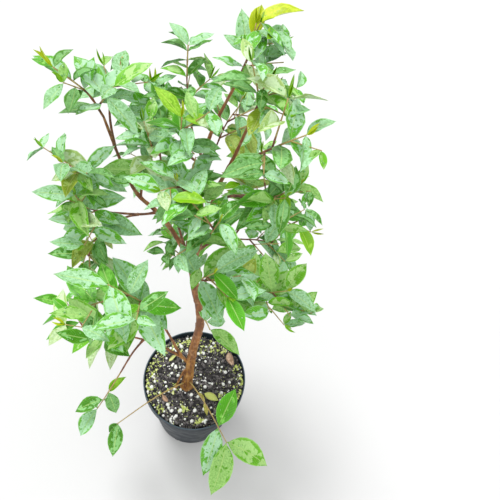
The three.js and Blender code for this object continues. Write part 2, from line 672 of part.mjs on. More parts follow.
// Every limb, pot wall, other stem and earlier twig or leaf is an obstacle: what
// would touch one, or leave the mass's own space, isn't grown. A side twig may
// touch the stem that bears it, and a leaf its own twig and the other leaf of its
// pair.
function growMass(mass, twigs, limbs, obstacles) {
  const stem = twigs[0];
  const around = obstacles.filter((piece) => piece.twig !== stem);
  const parts = [];
  const grown = [];
  for (const twig of twigs) {
    const wood = { ...twigPiece(twig, CLEARANCE), twig };
    if (twig !== stem) {
      const aside = grown.filter((piece) => piece.twig !== stem);
      const blocked = [...around, ...aside].some((piece) => piecesCross(wood, piece));
      if (blocked || !withinReach(wood, stem, mass.reach)) continue;
    }
    grown.push(wood);
    parts.push(twigPiece(twig, 0));
    for (const leaf of twig.leaves) {
      const blade = { ...leafPiece(leaf, CLEARANCE), twig, node: leaf.node, leaf: true };
      const nearFoot = leaf.root.distanceTo(twig.points[0]) < FOOT_ROOM;
      const others = grown.filter((piece) => {
        if (piece.twig === twig) return piece.leaf && piece.node !== leaf.node;
        return piece.leaf || piece.twig !== stem || !nearFoot;
      });
      const blocked = [...around, ...others].some((piece) => piecesCross(blade, piece));
      if (blocked || !withinReach(blade, stem, mass.reach)) continue;
      grown.push(blade);
      parts.push(leafPiece(leaf, 0));
    }
  }
  let solid = solidOf(parts[0]);
  for (const piece of parts.slice(1)) solid = solid.add(solidOf(piece));
  if (!mass.limb) solid = solid.subtract(limbs.get('trunk').grownSolid);
  return { solid, grown };
}

// The whole part
const part = new THREE.Group();
const pot = potPiece();
const soil = soilPiece();
part.add(meshOf('pot', potSolid(pot), POT_PLASTIC));
part.add(meshOf('soil', solidOf(soil), POTTING_MIX));

const plant = new THREE.Group();
const limbs = growLimbs();
for (const [name, limb] of limbs) {
  plant.add(meshOf(name, limb.solid, name === 'trunk' ? TRUNK_BARK : BOUGH_BARK));
}

const plans = MASSES.map((mass) => planMass(mass, limbs));
const stems = plans.map(([stem]) => ({ ...twigPiece(stem, CLEARANCE), twig: stem }));
const obstacles = [pot, soil, ...[...limbs.values()].map((limb) => limb.guard), ...stems];
for (const [index, mass] of MASSES.entries()) {
  const { solid, grown } = growMass(mass, plans[index], limbs, obstacles);
  obstacles.push(...grown);
  const mesh = meshOf(mass.name, solid, mass.young ? YOUNG_FOLIAGE : FOLIAGE);
  mesh.userData.leaves = grown.filter((piece) => piece.leaf).length;
  plant.add(mesh);
}
part.add(plant);

export default part;
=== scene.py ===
"""The looks of a potted jabuticaba: a young tree with wet, pointed leaves in a plastic nursery pot.

The limbs and the masses of foliage grow by the same rule as the solids do, and are carried on here
to finer twigs, smaller leaves, buds and beads of water. Shapes are worked out in millimetres and
made in metres.
"""
import math
from collections import namedtuple
from types import SimpleNamespace

import bmesh
import bpy
import numpy as np
from mathutils import Matrix, Vector, noise


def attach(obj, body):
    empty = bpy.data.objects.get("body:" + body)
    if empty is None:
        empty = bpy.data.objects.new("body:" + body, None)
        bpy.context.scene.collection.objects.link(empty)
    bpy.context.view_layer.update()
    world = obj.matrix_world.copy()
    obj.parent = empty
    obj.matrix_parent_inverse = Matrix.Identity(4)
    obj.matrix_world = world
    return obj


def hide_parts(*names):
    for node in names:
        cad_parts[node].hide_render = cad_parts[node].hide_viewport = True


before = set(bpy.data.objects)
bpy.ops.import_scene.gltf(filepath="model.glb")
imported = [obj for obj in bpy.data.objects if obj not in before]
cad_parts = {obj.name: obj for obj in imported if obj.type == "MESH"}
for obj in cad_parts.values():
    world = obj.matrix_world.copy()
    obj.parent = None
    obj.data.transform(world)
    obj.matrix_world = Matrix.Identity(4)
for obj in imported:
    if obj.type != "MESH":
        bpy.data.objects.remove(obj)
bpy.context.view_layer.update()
MM = 0.001

# Camera: place in metres, aim in degrees and lens in millimetres, as the photographed pot gives them
CAMERA_PLACE = (0.041, -0.245, 0.7995)
CAMERA_DOWN = 52.5
CAMERA_ROLL = 12.0
CAMERA_LENS = 32.04
CAMERA_SENSOR = 36
CAMERA_CLIP = (0.01, 50)

# Pot and potting mix, as the solids have them, in millimetres
POT_HEIGHT = 145
RIM_RADIUS = 76
BASE_RADIUS = 59
WALL = 1.6
POT_FLOOR = 2.2
POT_CORNER = 3
BAND_HEIGHT = 13
BAND_STEP = 2
RIM_EDGE = 1
POT_SEGMENTS = 36
SOIL_SEGMENTS = 28
DRAIN_HOLES = 6
DRAIN_RADIUS = 5.5
DRAIN_CIRCLE = 42
SOIL_TOP = 131
CLEARANCE = 0.3

# Limbs: name, parent, where along the parent, radius at the foot and at the tip, sides and
# steps of the solid, and the points that it runs through after its start
FLARE_RADIUS = 3.4
FLARE_HEIGHT = 11
TAPER_POWER = 0.8
TRUNK_FOOT = (-10, -10)
LIMBS = (
    ("trunk", None, 0, 6.6, 4.2, 9, 11,
     ((*TRUNK_FOOT, SOIL_TOP + CLEARANCE), (-7, 8, 222), (-2, 18, 288), (-12, 30, 343), (-26, 45, 398))),
    ("leader", "trunk", 1, 3.6, 1.3, 7, 9,
     ((-24, 62, 450), (-21, 75, 502), (-16, 88, 535), (1, 104, 582))),
    ("bough_left", "trunk", 0.95, 3, 1.2, 7, 9,
     ((-57, 56, 430), (-86, 62, 454), (-98, 60, 498), (-103, 50, 553))),
    ("bough_right", "trunk", 0.9, 3, 1.2, 7, 9,
     ((-9, 44, 440), (-1, 47, 498), (11, 52, 540), (22, 60, 584))),
    ("low_bough", "trunk", 0.14, 2.6, 1.2, 6, 7,
     ((-24, 2, 216), (-34, -8, 284), (-38, -32, 378))),
    ("low_side_bough", "low_bough", 0.2, 1.8, 1.1, 5, 4, ((-50, -18, 278), (-74, -34, 318))),
    ("hanging_limb", "low_side_bough", 0.72, 1.3, 0.95, 5, 4, ((-68, -46, 300), (-80, -60, 270))),
    ("cross_limb", "trunk", 0.74, 1.7, 1.05, 5, 4, ((10, 27, 352), (36, 18, 374))),
    ("front_limb", "trunk", 0.8, 1.7, 1.05, 5, 4, ((-12, 16, 384), (-6, -2, 414))),
    ("front_upper_limb", "trunk", 0.985, 1.7, 1.05, 5, 4, ((-16, 22, 430), (-3, 2, 474))),
    ("middle_limb", "bough_right", 0.26, 1.6, 1.05, 5, 4, ((-18, 38, 468), (-22, 30, 492))),
    ("middle_left_limb", "bough_left", 0.46, 1.4, 1, 5, 4, ((-79, 62, 468), (-73, 60, 492))),
    ("upper_left_limb", "bough_left", 0.84, 1.2, 0.95, 5, 4, ((-105, 66, 541), (-107, 78, 556))),
    ("left_upper_limb", "bough_left", 0.72, 1.2, 0.95, 5, 4, ((-101, 45, 501), (-108, 32, 507))),
    ("left_limb", "bough_left", 0.3, 1.5, 1, 5, 4, ((-76, 42, 446), (-98, 27, 458))),
    ("left_hanging_limb", "left_limb", 0.55, 1.1, 0.9, 5, 4, ((-88, 28, 452), (-100, 16, 446))),
    ("middle_shoot_limb", "leader", 0.52, 1.4, 0.95, 5, 4, ((-34, 90, 516), (-43, 108, 532))),
    ("left_shoot_limb", "bough_left", 0.22, 1.5, 0.95, 5, 4,
     ((-58, 74, 455), (-68, 90, 482), (-73, 100, 514))),
    ("bright_shoot_limb", "leader", 0.5, 1.4, 0.95, 5, 4, ((-27, 60, 518), (-32, 50, 536))),
    ("right_upper_limb", "bough_right", 0.6, 1.4, 1, 5, 4, ((14, 40, 540), (30, 32, 562))),
    ("right_limb", "bough_right", 0.42, 1.5, 1, 5, 4, ((14, 42, 500), (30, 36, 508))),
    ("right_tip_limb", "right_limb", 0.55, 1.1, 0.9, 5, 4, ((30, 48, 498), (52, 50, 482))),
    ("right_lower_limb", "bough_right", 0.12, 1.6, 1, 5, 4, ((2, 58, 408), (28, 74, 400))),
    ("back_left_limb", "trunk", 0.86, 1.8, 1.05, 5, 4, ((-46, 76, 398), (-66, 104, 428))),
    ("back_right_limb", "trunk", 0.7, 1.8, 1.05, 5, 4, ((6, 66, 366), (26, 98, 398))),
    ("back_upper_limb", "leader", 0.3, 1.5, 1, 5, 4, ((-20, 88, 470), (-16, 112, 492))),
    ("back_low_limb", "trunk", 0.56, 1.6, 1, 5, 4, ((-18, 44, 306), (-28, 64, 326))),
)

# Masses: name, the limb that the stem carries on from or its place along the trunk, the stem's
# tip, leaf length, pairs, reach, seed, the tone and tips of its sprays, and bare share where it has its own
BARE_SHARE = 0.2
Mass = namedtuple("Mass", "name place tip leaf pairs reach seed tone tips bare", defaults=(BARE_SHARE,))
MASSES = tuple(Mass(*row) for row in (
    ("leaves_top", "leader", (8, 115, 625), 34, 4, 42, 467, "mint", "bright"),
    ("leaves_upper_right", "bough_right", (31, 66, 600), 34, 4, 42, 1149, "pale", "bud"),
    ("leaves_right_upper", "right_upper_limb", (64, 26, 596), 38, 4, 44, 1149, "mint", "bud"),
    ("leaves_right", "right_limb", (68, 24, 546), 35, 4, 42, 904, "mint", "bud"),
    ("leaves_right_tip", "right_tip_limb", (98, 56, 458), 34, 4, 40, 29, "fresh", "bud"),
    ("leaves_right_lower", "right_lower_limb", (78, 92, 378), 45, 4, 54, 1401, "fresh", "bud"),
    ("leaves_front_upper", "front_upper_limb", (12, -12, 524), 38, 4, 46, 848, "mint", "bud"),
    ("leaves_front", "front_limb", (14, -26, 470), 46, 4, 54, 148, "fresh", "bud"),
    ("leaves_middle", "middle_limb", (-30, 14, 534), 36, 4, 44, 750, "pale", "bud"),
    ("leaves_middle_left", "middle_left_limb", (-60, 58, 528), 36, 4, 44, 1506, "pale", "bud"),
    ("leaves_right_low", "cross_limb", (86, 2, 424), 45, 4, 54, 1478, "fresh", "bud"),
    ("leaves_on_trunk", 0.56, (13, 8, 292), 46, 1, 58, 85, "fresh", "none", 0.6),
    ("leaves_middle_shoot", "middle_shoot_limb", (-52, 134, 584), 36, 4, 42, 967, "mint", "bud"),
    ("leaves_left_shoot", "left_shoot_limb", (-79, 112, 550), 33, 4, 38, 1429, "mint", "bud"),
    ("leaves_bright_shoot", "bright_shoot_limb", (-34, 44, 574), 33, 3, 40, 1534, "mint", "young"),
    ("leaves_upper_left", "bough_left", (-132, 40, 598), 38, 4, 48, 197, "mint", "bud"),
    ("leaves_upper_left_inner", "upper_left_limb", (-100, 88, 566), 36, 3, 44, 729, "mint", "bud"),
    ("leaves_left_upper", "left_upper_limb", (-128, 14, 526), 37, 4, 44, 274, "mint", "bud"),
    ("leaves_left", "left_limb", (-128, 8, 486), 42, 4, 50, 554, "mint", "bud"),
    ("leaves_left_hanging", "left_hanging_limb", (-126, -2, 402), 34, 4, 40, 484, "deep", "bud"),
    ("leaves_low_front", "low_bough", (-72, -56, 464), 50, 4, 58, 239, "low", "bud"),
    ("leaves_low_left", "low_side_bough", (-136, -50, 350), 44, 5, 54, 806, "fresh", "bud"),
    ("leaves_low_hanging", "hanging_limb", (-112, -84, 186), 42, 2, 46, 239, "fresh", "none", 0.45),
    ("leaves_foot_left", 0.035, (-87, -90, 155), 54, 0, 58, 765, "deep", "none", 0.9),
    ("leaves_foot_right", 0.05, (65, -84, 153), 76, 1, 90, 882, "wet", "none", 0.8),
    ("leaves_back_left", "back_left_limb", (-90, 146, 470), 45, 4, 54, 1198, "mint", "bud"),
    ("leaves_back_right", "back_right_limb", (52, 142, 438), 45, 4, 54, 1261, "fresh", "bud"),
    ("leaves_back_upper", "back_upper_limb", (0, 156, 520), 40, 4, 48, 589, "pale", "bud"),
    ("leaves_back_low", "back_low_limb", (-46, 112, 352), 45, 4, 54, 1485, "fresh", "bud"),
))
MASS_NAMES = [mass.name for mass in MASSES]

# The rule of the foliage, as the solids have it
TWIG_SIDES = 3
TWIG_STEP = 26
TWIG_RADIUS = 1
TWIG_TIP_RADIUS = 0.8
TRUNK_STEM_RADIUS = 1.15
LEAF_ROOT_DEPTH = 0.35
LEAF_KEEL = 0.024
KEEL_STATION = 0.22
LOWER_STATION = 0.33
UPPER_STATION = 0.68
LOWER_WIDTH = 0.24
UPPER_WIDTH = 0.19
TWIG_SHARE = 0.4
FEWEST_NODES_FOR_TWIGS = 3
TWIG_NODES = 2
TWIG_LEAF_SHARE = 0.92
DRAWS_PER_ORGAN = 6
DRAW_FACTOR = 48271
DRAW_LIMIT = 2147483647
LAST_NODE = 0.9
TIP_NODE = 0.985
TWIG_LENGTH = (0.805, 1.3225)
TWIG_LENGTH_AT_TIP = 0.75
TWIG_SPREAD = (38.4, 60)
TWIG_FALL = (-0.25, 0.2)
TWIG_SAG = (0, 0.25)
TRUNK_STEM_RISE = 0.6
LEAF_LENGTH = (0.78, 1.15)
LEAF_LENGTH_AT_TIP = 0.8
LEAF_SPREAD = (49.5, 79.2)
LEAF_LEAN = (-24, 24)
LEAF_FALL = (-0.114, 0.608)
LEAF_DROOP = (0.04, 0.22)
FACE_FORWARD = 0.35
PAIR_JITTER = (-16, 16)
LEVEL_STEEPNESS = 0.45
CROSSED_STEEPNESS = 0.85
UPRIGHT = 0.95
FOOT_ROOM = 4
PARALLEL = 1e-9
ROUTE_STEP = 0.001

# Finer growth: where a leaf found no room a smaller one may, and small side shoots stand in the
# corners between leaf and twig
SMALLER_LEAVES = (0.84, 0.64)
SHOOT_SHARE = 0.2
SHOOT_LENGTH = (0.42, 0.78)
SHOOT_LEAF = (0.6, 0.9)
SHOOT_SPREAD = (28, 52)
SHOOT_RADIUS = 0.55
SHOOT_LIFT = 0.2
SHOOT_NODES = 1
SHOOT_BARE_SHARE = 0.45
SHOOT_SEED_STEP = 4001

SKY = np.array((0.0, 0.0, 1.0))
EAST = np.array((1.0, 0.0, 0.0))


def mix(a, b, t):
    return a + (b - a) * t


def drawn(span, draw):
    return mix(span[0], span[1], draw)


def unit(v):
    return v / math.sqrt(v @ v)


def turned(v, axis, angle):
    """A vector turned about a unit axis."""
    sine, cosine = math.sin(angle), math.cos(angle)
    return v * cosine + np.cross(axis, v) * sine + axis * (axis @ v) * (1 - cosine)


def seeded_random(seed):
    """A generator of numbers from 0 to 1."""
    state = seed

    def draw():
        nonlocal state
        state = state * DRAW_FACTOR % DRAW_LIMIT
        return state / DRAW_LIMIT

    return draw


def route_point(points, t):
    """A point on the smooth route through its points, from 0 to 1."""
    span = (len(points) - 1) * min(max(t, 0), 1)
    i = min(int(span), len(points) - 2)
    u = span - i
    p1, p2 = points[i], points[i + 1]
    p0 = points[i - 1] if i > 0 else 2 * p1 - p2
    p3 = points[i + 2] if i + 2 < len(points) else 2 * p2 - p1
    before = 0.5 * (-u + 2 * u**2 - u**3)
    first = 0.5 * (2 - 5 * u**2 + 3 * u**3)
    second = 0.5 * (u + 4 * u**2 - 3 * u**3)
    after = 0.5 * (-(u**2) + u**3)
    return before * p0 + first * p1 + second * p2 + after * p3


def route_direction(points, t):
    return unit(route_point(points, min(t + ROUTE_STEP, 1)) - route_point(points, max(t - ROUTE_STEP, 0)))


def route_length(points):
    return float(sum(np.linalg.norm(b - a) for a, b in zip(points, points[1:])))


def square_to(direction, wish):
    """A unit vector square to a direction, as near as possible to the one wished."""
    return unit(wish - direction * (wish @ direction))


def tube_rings(points, radius_at, sides, steps, first_direction, start=0.0, end=1.0):
    """The rings of a tapering tube that follows a route."""
    rings = []
    side = square_to(first_direction, SKY if abs(first_direction[2]) < UPRIGHT else EAST)
    turns = 2 * math.pi * np.arange(sides) / sides
    for j in range(steps + 1):
        t = mix(start, end, j / steps)
        direction = first_direction if t == 0 else route_direction(points, t)
        side = square_to(direction, side)
        other = np.cross(direction, side)
        spokes = np.outer(np.cos(turns), side) + np.outer(np.sin(turns), other)
        rings.append(route_point(points, t) + radius_at(t) * spokes)
    return np.array(rings)


def tube_walls(sides, steps):
    """The four-sided faces between a tube's rings."""
    walls = []
    for j in range(steps):
        for i in range(sides):
            a, b = j * sides + i, j * sides + (i + 1) % sides
            walls.append((a, b, b + sides, a + sides))
    return walls


def closed_piece(corners, triangles, **facts):
    """A closed shape with its box, edges and faces ready for the crossing test."""
    corners = np.asarray(corners, float)
    triangles = np.asarray(triangles)
    pairs = triangles[:, ((0, 1), (1, 2), (2, 0))].reshape(-1, 2)
    pairs = pairs[pairs[:, 0] < pairs[:, 1]]
    faces = corners[triangles]
    return SimpleNamespace(
        corners=corners, low=corners.min(0), high=corners.max(0),
        starts=corners[pairs[:, 0]], ends=corners[pairs[:, 1]], a=faces[:, 0],
        first=faces[:, 1] - faces[:, 0], second=faces[:, 2] - faces[:, 0], **facts)


def tube_piece(points, radius_at, sides, steps, first_direction, **facts):
    rings = tube_rings(points, radius_at, sides, steps, first_direction)
    triangles = []
    for a, b, c, d in tube_walls(sides, steps):
        triangles += [(a, b, c), (a, c, d)]
    last = steps * sides
    for i in range(1, sides - 1):
        triangles += [(0, i + 1, i), (last, last + i, last + i + 1)]
    return closed_piece(rings.reshape(-1, 3), triangles, **facts)


BLADE_TRIANGLES = ((0, 2, 1), (0, 3, 2), (0, 1, 3), (1, 2, 5), (1, 5, 4), (2, 3, 6),
                   (2, 6, 5), (3, 1, 4), (3, 4, 6), (4, 5, 7), (5, 6, 7), (6, 4, 7))


def blade_piece(leaf, grow, **facts):
    """The plain closed blade that a leaf is tested with."""
    across = np.cross(leaf.face, leaf.direction)
    length = leaf.length

    def place(t, width, depth):
        lift = grow - leaf.droop * length * t * t - depth
        return leaf.root + leaf.direction * (t * length) + leaf.face * lift + across * width

    lower = LOWER_WIDTH * length + grow
    upper = UPPER_WIDTH * length + grow
    keel = LEAF_KEEL * length + 2 * grow
    corners = (
        place(-LEAF_ROOT_DEPTH / length, 0, grow), place(LOWER_STATION, lower, 0),
        place(LOWER_STATION, -lower, 0), place(KEEL_STATION, 0, keel),
        place(UPPER_STATION, upper, 0), place(UPPER_STATION, -upper, 0),
        place(UPPER_STATION, 0, keel), place(1 + grow / length, 0, grow))
    return closed_piece(corners, BLADE_TRIANGLES, **facts)


def cross(u, v):
    return np.stack((u[..., 1] * v[..., 2] - u[..., 2] * v[..., 1],
                     u[..., 2] * v[..., 0] - u[..., 0] * v[..., 2],
                     u[..., 0] * v[..., 1] - u[..., 1] * v[..., 0]), -1)


def edges_meet(one, other):
    """Whether an edge of one piece passes through a face of the other."""
    near = (np.maximum(one.starts, one.ends) >= other.low).all(1)
    near &= (np.minimum(one.starts, one.ends) <= other.high).all(1)
    if not near.any():
        return False
    starts = one.starts[near][:, None]
    run = one.ends[near][:, None] - starts
    run_cross = cross(run, other.second[None])
    slope = (other.first[None] * run_cross).sum(-1)
    slanted = np.abs(slope) >= PARALLEL
    slope = np.where(slanted, slope, 1)
    offset = starts - other.a[None]
    u = (offset * run_cross).sum(-1) / slope
    offset_cross = cross(offset, np.broadcast_to(other.first[None], offset.shape))
    v = (run * offset_cross).sum(-1) / slope
    t = (other.second[None] * offset_cross).sum(-1) / slope
    met = slanted & (u >= 0) & (u <= 1) & (v >= 0) & (u + v <= 1) & (t >= 0) & (t <= 1)
    return bool(met.any())


def pieces_cross(one, other):
    return edges_meet(one, other) or edges_meet(other, one)


class Obstacles:
    """Everything that has grown so far, with its boxes in one array."""

    def __init__(self, pieces):
        self.pieces = []
        self.boxes = np.zeros((0, 6))
        self.add(pieces)

    def add(self, pieces):
        self.pieces += pieces
        boxes = [np.concatenate((piece.low, piece.high)) for piece in pieces]
        self.boxes = np.concatenate((self.boxes, np.reshape(boxes, (-1, 6))))

    def blocks(self, piece, allowed):
        """Whether the piece crosses one that it isn't allowed to touch."""
        near = (self.boxes[:, :3] <= piece.high).all(1) & (self.boxes[:, 3:] >= piece.low).all(1)
        for index in np.nonzero(near)[0]:
            other = self.pieces[index]
            if not allowed(other) and pieces_cross(piece, other):
                return True
        return False


def turned_piece(profile, segments):
    """A closed shape turned about the upright axis, whose profile starts and ends on it."""
    corners = [(0, 0, profile[0][1])]
    for radius, height in profile[1:-1]:
        for i in range(segments):
            turn = 2 * math.pi * i / segments
            corners.append((radius * math.sin(turn), -radius * math.cos(turn), height))
    corners.append((0, 0, profile[-1][1]))
    triangles = []
    last = len(corners) - 1
    for i in range(segments):
        following = (i + 1) % segments
        triangles.append((0, 1 + following, 1 + i))
        for ring in range(len(profile) - 3):
            a, b = 1 + ring * segments + i, 1 + ring * segments + following
            triangles += [(a, b, b + segments), (a, b + segments, a + segments)]
        final = 1 + (len(profile) - 3) * segments
        triangles.append((last, final + i, final + following))
    return closed_piece(corners, triangles, twig=None, blade=False)


def outer_radius(height):
    return mix(BASE_RADIUS, RIM_RADIUS - BAND_STEP, height / POT_HEIGHT)


def pot_and_soil():
    """The pot and the mix as the solids have them, for the foliage to keep clear of."""
    band_foot = POT_HEIGHT - BAND_HEIGHT
    pot = turned_piece((
        (0, 0), (BASE_RADIUS - POT_CORNER, 0), (outer_radius(POT_CORNER), POT_CORNER),
        (outer_radius(band_foot), band_foot), (RIM_RADIUS, band_foot + BAND_STEP),
        (RIM_RADIUS, POT_HEIGHT - RIM_EDGE), (RIM_RADIUS - RIM_EDGE, POT_HEIGHT),
        (RIM_RADIUS - BAND_STEP - WALL, POT_HEIGHT), (outer_radius(POT_FLOOR) - WALL, POT_FLOOR),
        (0, POT_FLOOR)), POT_SEGMENTS)
    gap = WALL + 2 * CLEARANCE
    foot = POT_FLOOR + CLEARANCE
    soil = turned_piece((
        (0, foot), (outer_radius(foot) - gap, foot),
        (outer_radius(SOIL_TOP) - gap, SOIL_TOP), (0, SOIL_TOP)), SOIL_SEGMENTS)
    return [pot, soil]


def limb_radius(name, foot, end, length):
    flare = FLARE_RADIUS if name == "trunk" else 0
    return lambda t: mix(foot, end, t**TAPER_POWER) + flare * math.exp(-t * length / FLARE_HEIGHT)


def grow_limbs():
    """Every limb's route, radius and guard, by name."""
    limbs = {}
    for name, parent, along, foot, end, sides, steps, places in LIMBS:
        places = [np.array(place, float) for place in places]
        if parent is None:
            points, direction = places, SKY
        else:
            parent_points = limbs[parent].points
            start = route_point(parent_points, along)
            direction = unit(places[0] - start)
            if along == 1:
                direction = route_direction(parent_points, 1)
                start = start + CLEARANCE * direction
            points = [start, *places]
        radius = limb_radius(name, foot, end, route_length(points))
        guard = tube_piece(points, lambda t, r=radius: r(t) + CLEARANCE, sides, steps, direction,
                           twig=None, blade=False)
        limbs[name] = SimpleNamespace(name=name, points=points, radius=radius, direction=direction,
                                      guard=guard)
    return limbs


def heading_from(direction, turn, side, spread, fall):
    """The heading of a leaf or side twig that leaves a twig to its left or right."""
    level = unit(np.cross(SKY, direction)) if abs(direction[2]) < UPRIGHT else EAST
    sideways = turned(level, direction, turn) * side
    return unit(direction * math.cos(spread) + sideways * math.sin(spread) - SKY * fall)


def make_leaf(root, twig_direction, turn, side, length, draws):
    spread = math.radians(drawn(LEAF_SPREAD, draws[0]))
    direction = heading_from(twig_direction, turn, side, spread, drawn(LEAF_FALL, draws[1]))
    lean = math.radians(drawn(LEAF_LEAN, draws[2]))
    wish = SKY + twig_direction * FACE_FORWARD
    return SimpleNamespace(
        root=root, direction=direction, face=turned(square_to(direction, wish), direction, lean),
        length=length * drawn(LEAF_LENGTH, draws[3]), droop=drawn(LEAF_DROOP, draws[4]), side=side)


def pair_turn(direction, node, jitter):
    """The turn of each pair about its twig: level on a spreading twig, crossed on an upright one."""
    steep = (abs(direction[2]) - LEVEL_STEEPNESS) / (CROSSED_STEEPNESS - LEVEL_STEEPNESS)
    return node % 2 * min(max(steep, 0), 1) * math.pi / 2 + math.radians(drawn(PAIR_JITTER, jitter))


def node_station(node, nodes, bare):
    return TIP_NODE if node == nodes else mix(bare, LAST_NODE, node / nodes)


def grow_twig(start, first_direction, tip, nodes, leaf, radius, bare, random):
    """A twig that bends from its first direction to its tip, with a pair of leaves at each node."""
    length = float(np.linalg.norm(tip - start))
    middle = (start + tip) / 2
    middle = (middle + start + first_direction * length / 2) / 2
    points = [start, middle, tip]
    leaves = []
    for node in range(nodes + 1):
        t = node_station(node, nodes, bare)
        direction = route_direction(points, t)
        turn = pair_turn(direction, node, random())
        for side in (1, -1):
            draws = [random() for _ in range(DRAWS_PER_ORGAN)]
            size = leaf * mix(1, LEAF_LENGTH_AT_TIP, t)
            grown = make_leaf(route_point(points, t), direction, turn, side, size, draws)
            grown.node, grown.station = node, t
            leaves.append(grown)
    return SimpleNamespace(points=points, direction=first_direction, radius=radius, leaves=leaves,
                           length=length, nodes=nodes, kept=[], order=0, bearer=None)


def plan_mass(mass, limbs):
    """The stem of a mass and its side twigs, each in place of one of the stem's leaves."""
    random = seeded_random(mass.seed)
    tip = np.array(mass.tip, float)
    if isinstance(mass.place, str):
        limb = limbs[mass.place]
        direction = route_direction(limb.points, 1)
        start = route_point(limb.points, 1) + direction * CLEARANCE
        radius = limb.radius(1)
    else:
        start = route_point(limbs["trunk"].points, mass.place)
        direction = unit((tip - start) * (1, 1, 0))
        direction = unit(direction + SKY * TRUNK_STEM_RISE)
        radius = TRUNK_STEM_RADIUS
    stem = grow_twig(start, direction, tip, mass.pairs, mass.leaf, radius, mass.bare, random)
    twigs = [stem]
    for node in range(mass.pairs):
        for side in (1, -1):
            draws = [random() for _ in range(DRAWS_PER_ORGAN)]
            t = node_station(node, mass.pairs, mass.bare)
            along = route_direction(stem.points, t)
            turn = pair_turn(along, node, draws[1])
            spread = math.radians(drawn(TWIG_SPREAD, draws[2]))
            heading = heading_from(along, turn, side, spread, drawn(TWIG_FALL, draws[3]))
            length = mass.leaf * drawn(TWIG_LENGTH, draws[4]) * mix(1, TWIG_LENGTH_AT_TIP, t)
            root = route_point(stem.points, t)
            end = root + heading * length - SKY * length * drawn(TWIG_SAG, draws[5])
            twig = grow_twig(root, heading, end, TWIG_NODES, mass.leaf * TWIG_LEAF_SHARE, TWIG_RADIUS,
                             BARE_SHARE, random)
            if draws[0] < TWIG_SHARE and mass.pairs >= FEWEST_NODES_FOR_TWIGS:
                twig.order = 1
                twigs.append(twig)
                stem.leaves = [other for other in stem.leaves if (other.node, other.side) != (node, side)]
    return twigs


def within_reach(piece, stem, reach):
    """Whether a piece keeps within its reach of the line from a stem's foot to its tip."""
    start = stem.points[0]
    run = stem.points[2] - start
    t = np.clip((piece.corners - start) @ run / (run @ run), 0, 1)
    nearest = start + t[:, None] * run
    return bool((np.linalg.norm(piece.corners - nearest, axis=1) < reach).all())


def twig_piece(twig, grow):
    steps = max(2, math.floor(twig.length / TWIG_STEP + 0.5))
    return tube_piece(twig.points, lambda t: mix(twig.radius, TWIG_TIP_RADIUS, t) + grow, TWIG_SIDES,
                      steps, twig.direction, twig=twig, blade=False, node=None)


def grow_mass(twigs, reach, obstacles):
    """Keeps the twigs and leaves that find room, by the rule of the solids."""
    stem = twigs[0]
    grown = Obstacles([])
    for twig in twigs:
        wood = twig_piece(twig, CLEARANCE)
        if twig is not stem:
            blocked = obstacles.blocks(wood, lambda other: other.twig is stem)
            blocked = blocked or grown.blocks(wood, lambda other: other.twig is stem)
            if blocked or not within_reach(wood, stem, reach):
                twig.order = None
                continue
        grown.add([wood])
        for leaf in twig.leaves:
            blade = blade_piece(leaf, CLEARANCE, twig=twig, blade=True, node=leaf.node)
            near_foot = np.linalg.norm(leaf.root - twig.points[0]) < FOOT_ROOM

            def allowed(other, leaf=leaf, twig=twig, near_foot=near_foot):
                if other.twig is twig:
                    return not other.blade or other.node == leaf.node
                return not other.blade and other.twig is stem and near_foot

            blocked = obstacles.blocks(blade, lambda other: other.twig is stem)
            if blocked or grown.blocks(blade, allowed) or not within_reach(blade, stem, reach):
                continue
            grown.add([blade])
            twig.kept.append(leaf)
    return grown.pieces


def grow_foliage(limbs):
    """Every mass as the solids have it, and all that has grown."""
    plans = [plan_mass(mass, limbs) for mass in MASSES]
    stems = [twig_piece(twigs[0], CLEARANCE) for twigs in plans]
    obstacles = Obstacles(pot_and_soil() + [limb.guard for limb in limbs.values()] + stems)
    for mass, twigs in zip(MASSES, plans):
        obstacles.add(grow_mass(twigs, mass.reach, obstacles))
    return [[twig for twig in twigs if twig.order is not None] for twigs in plans], obstacles


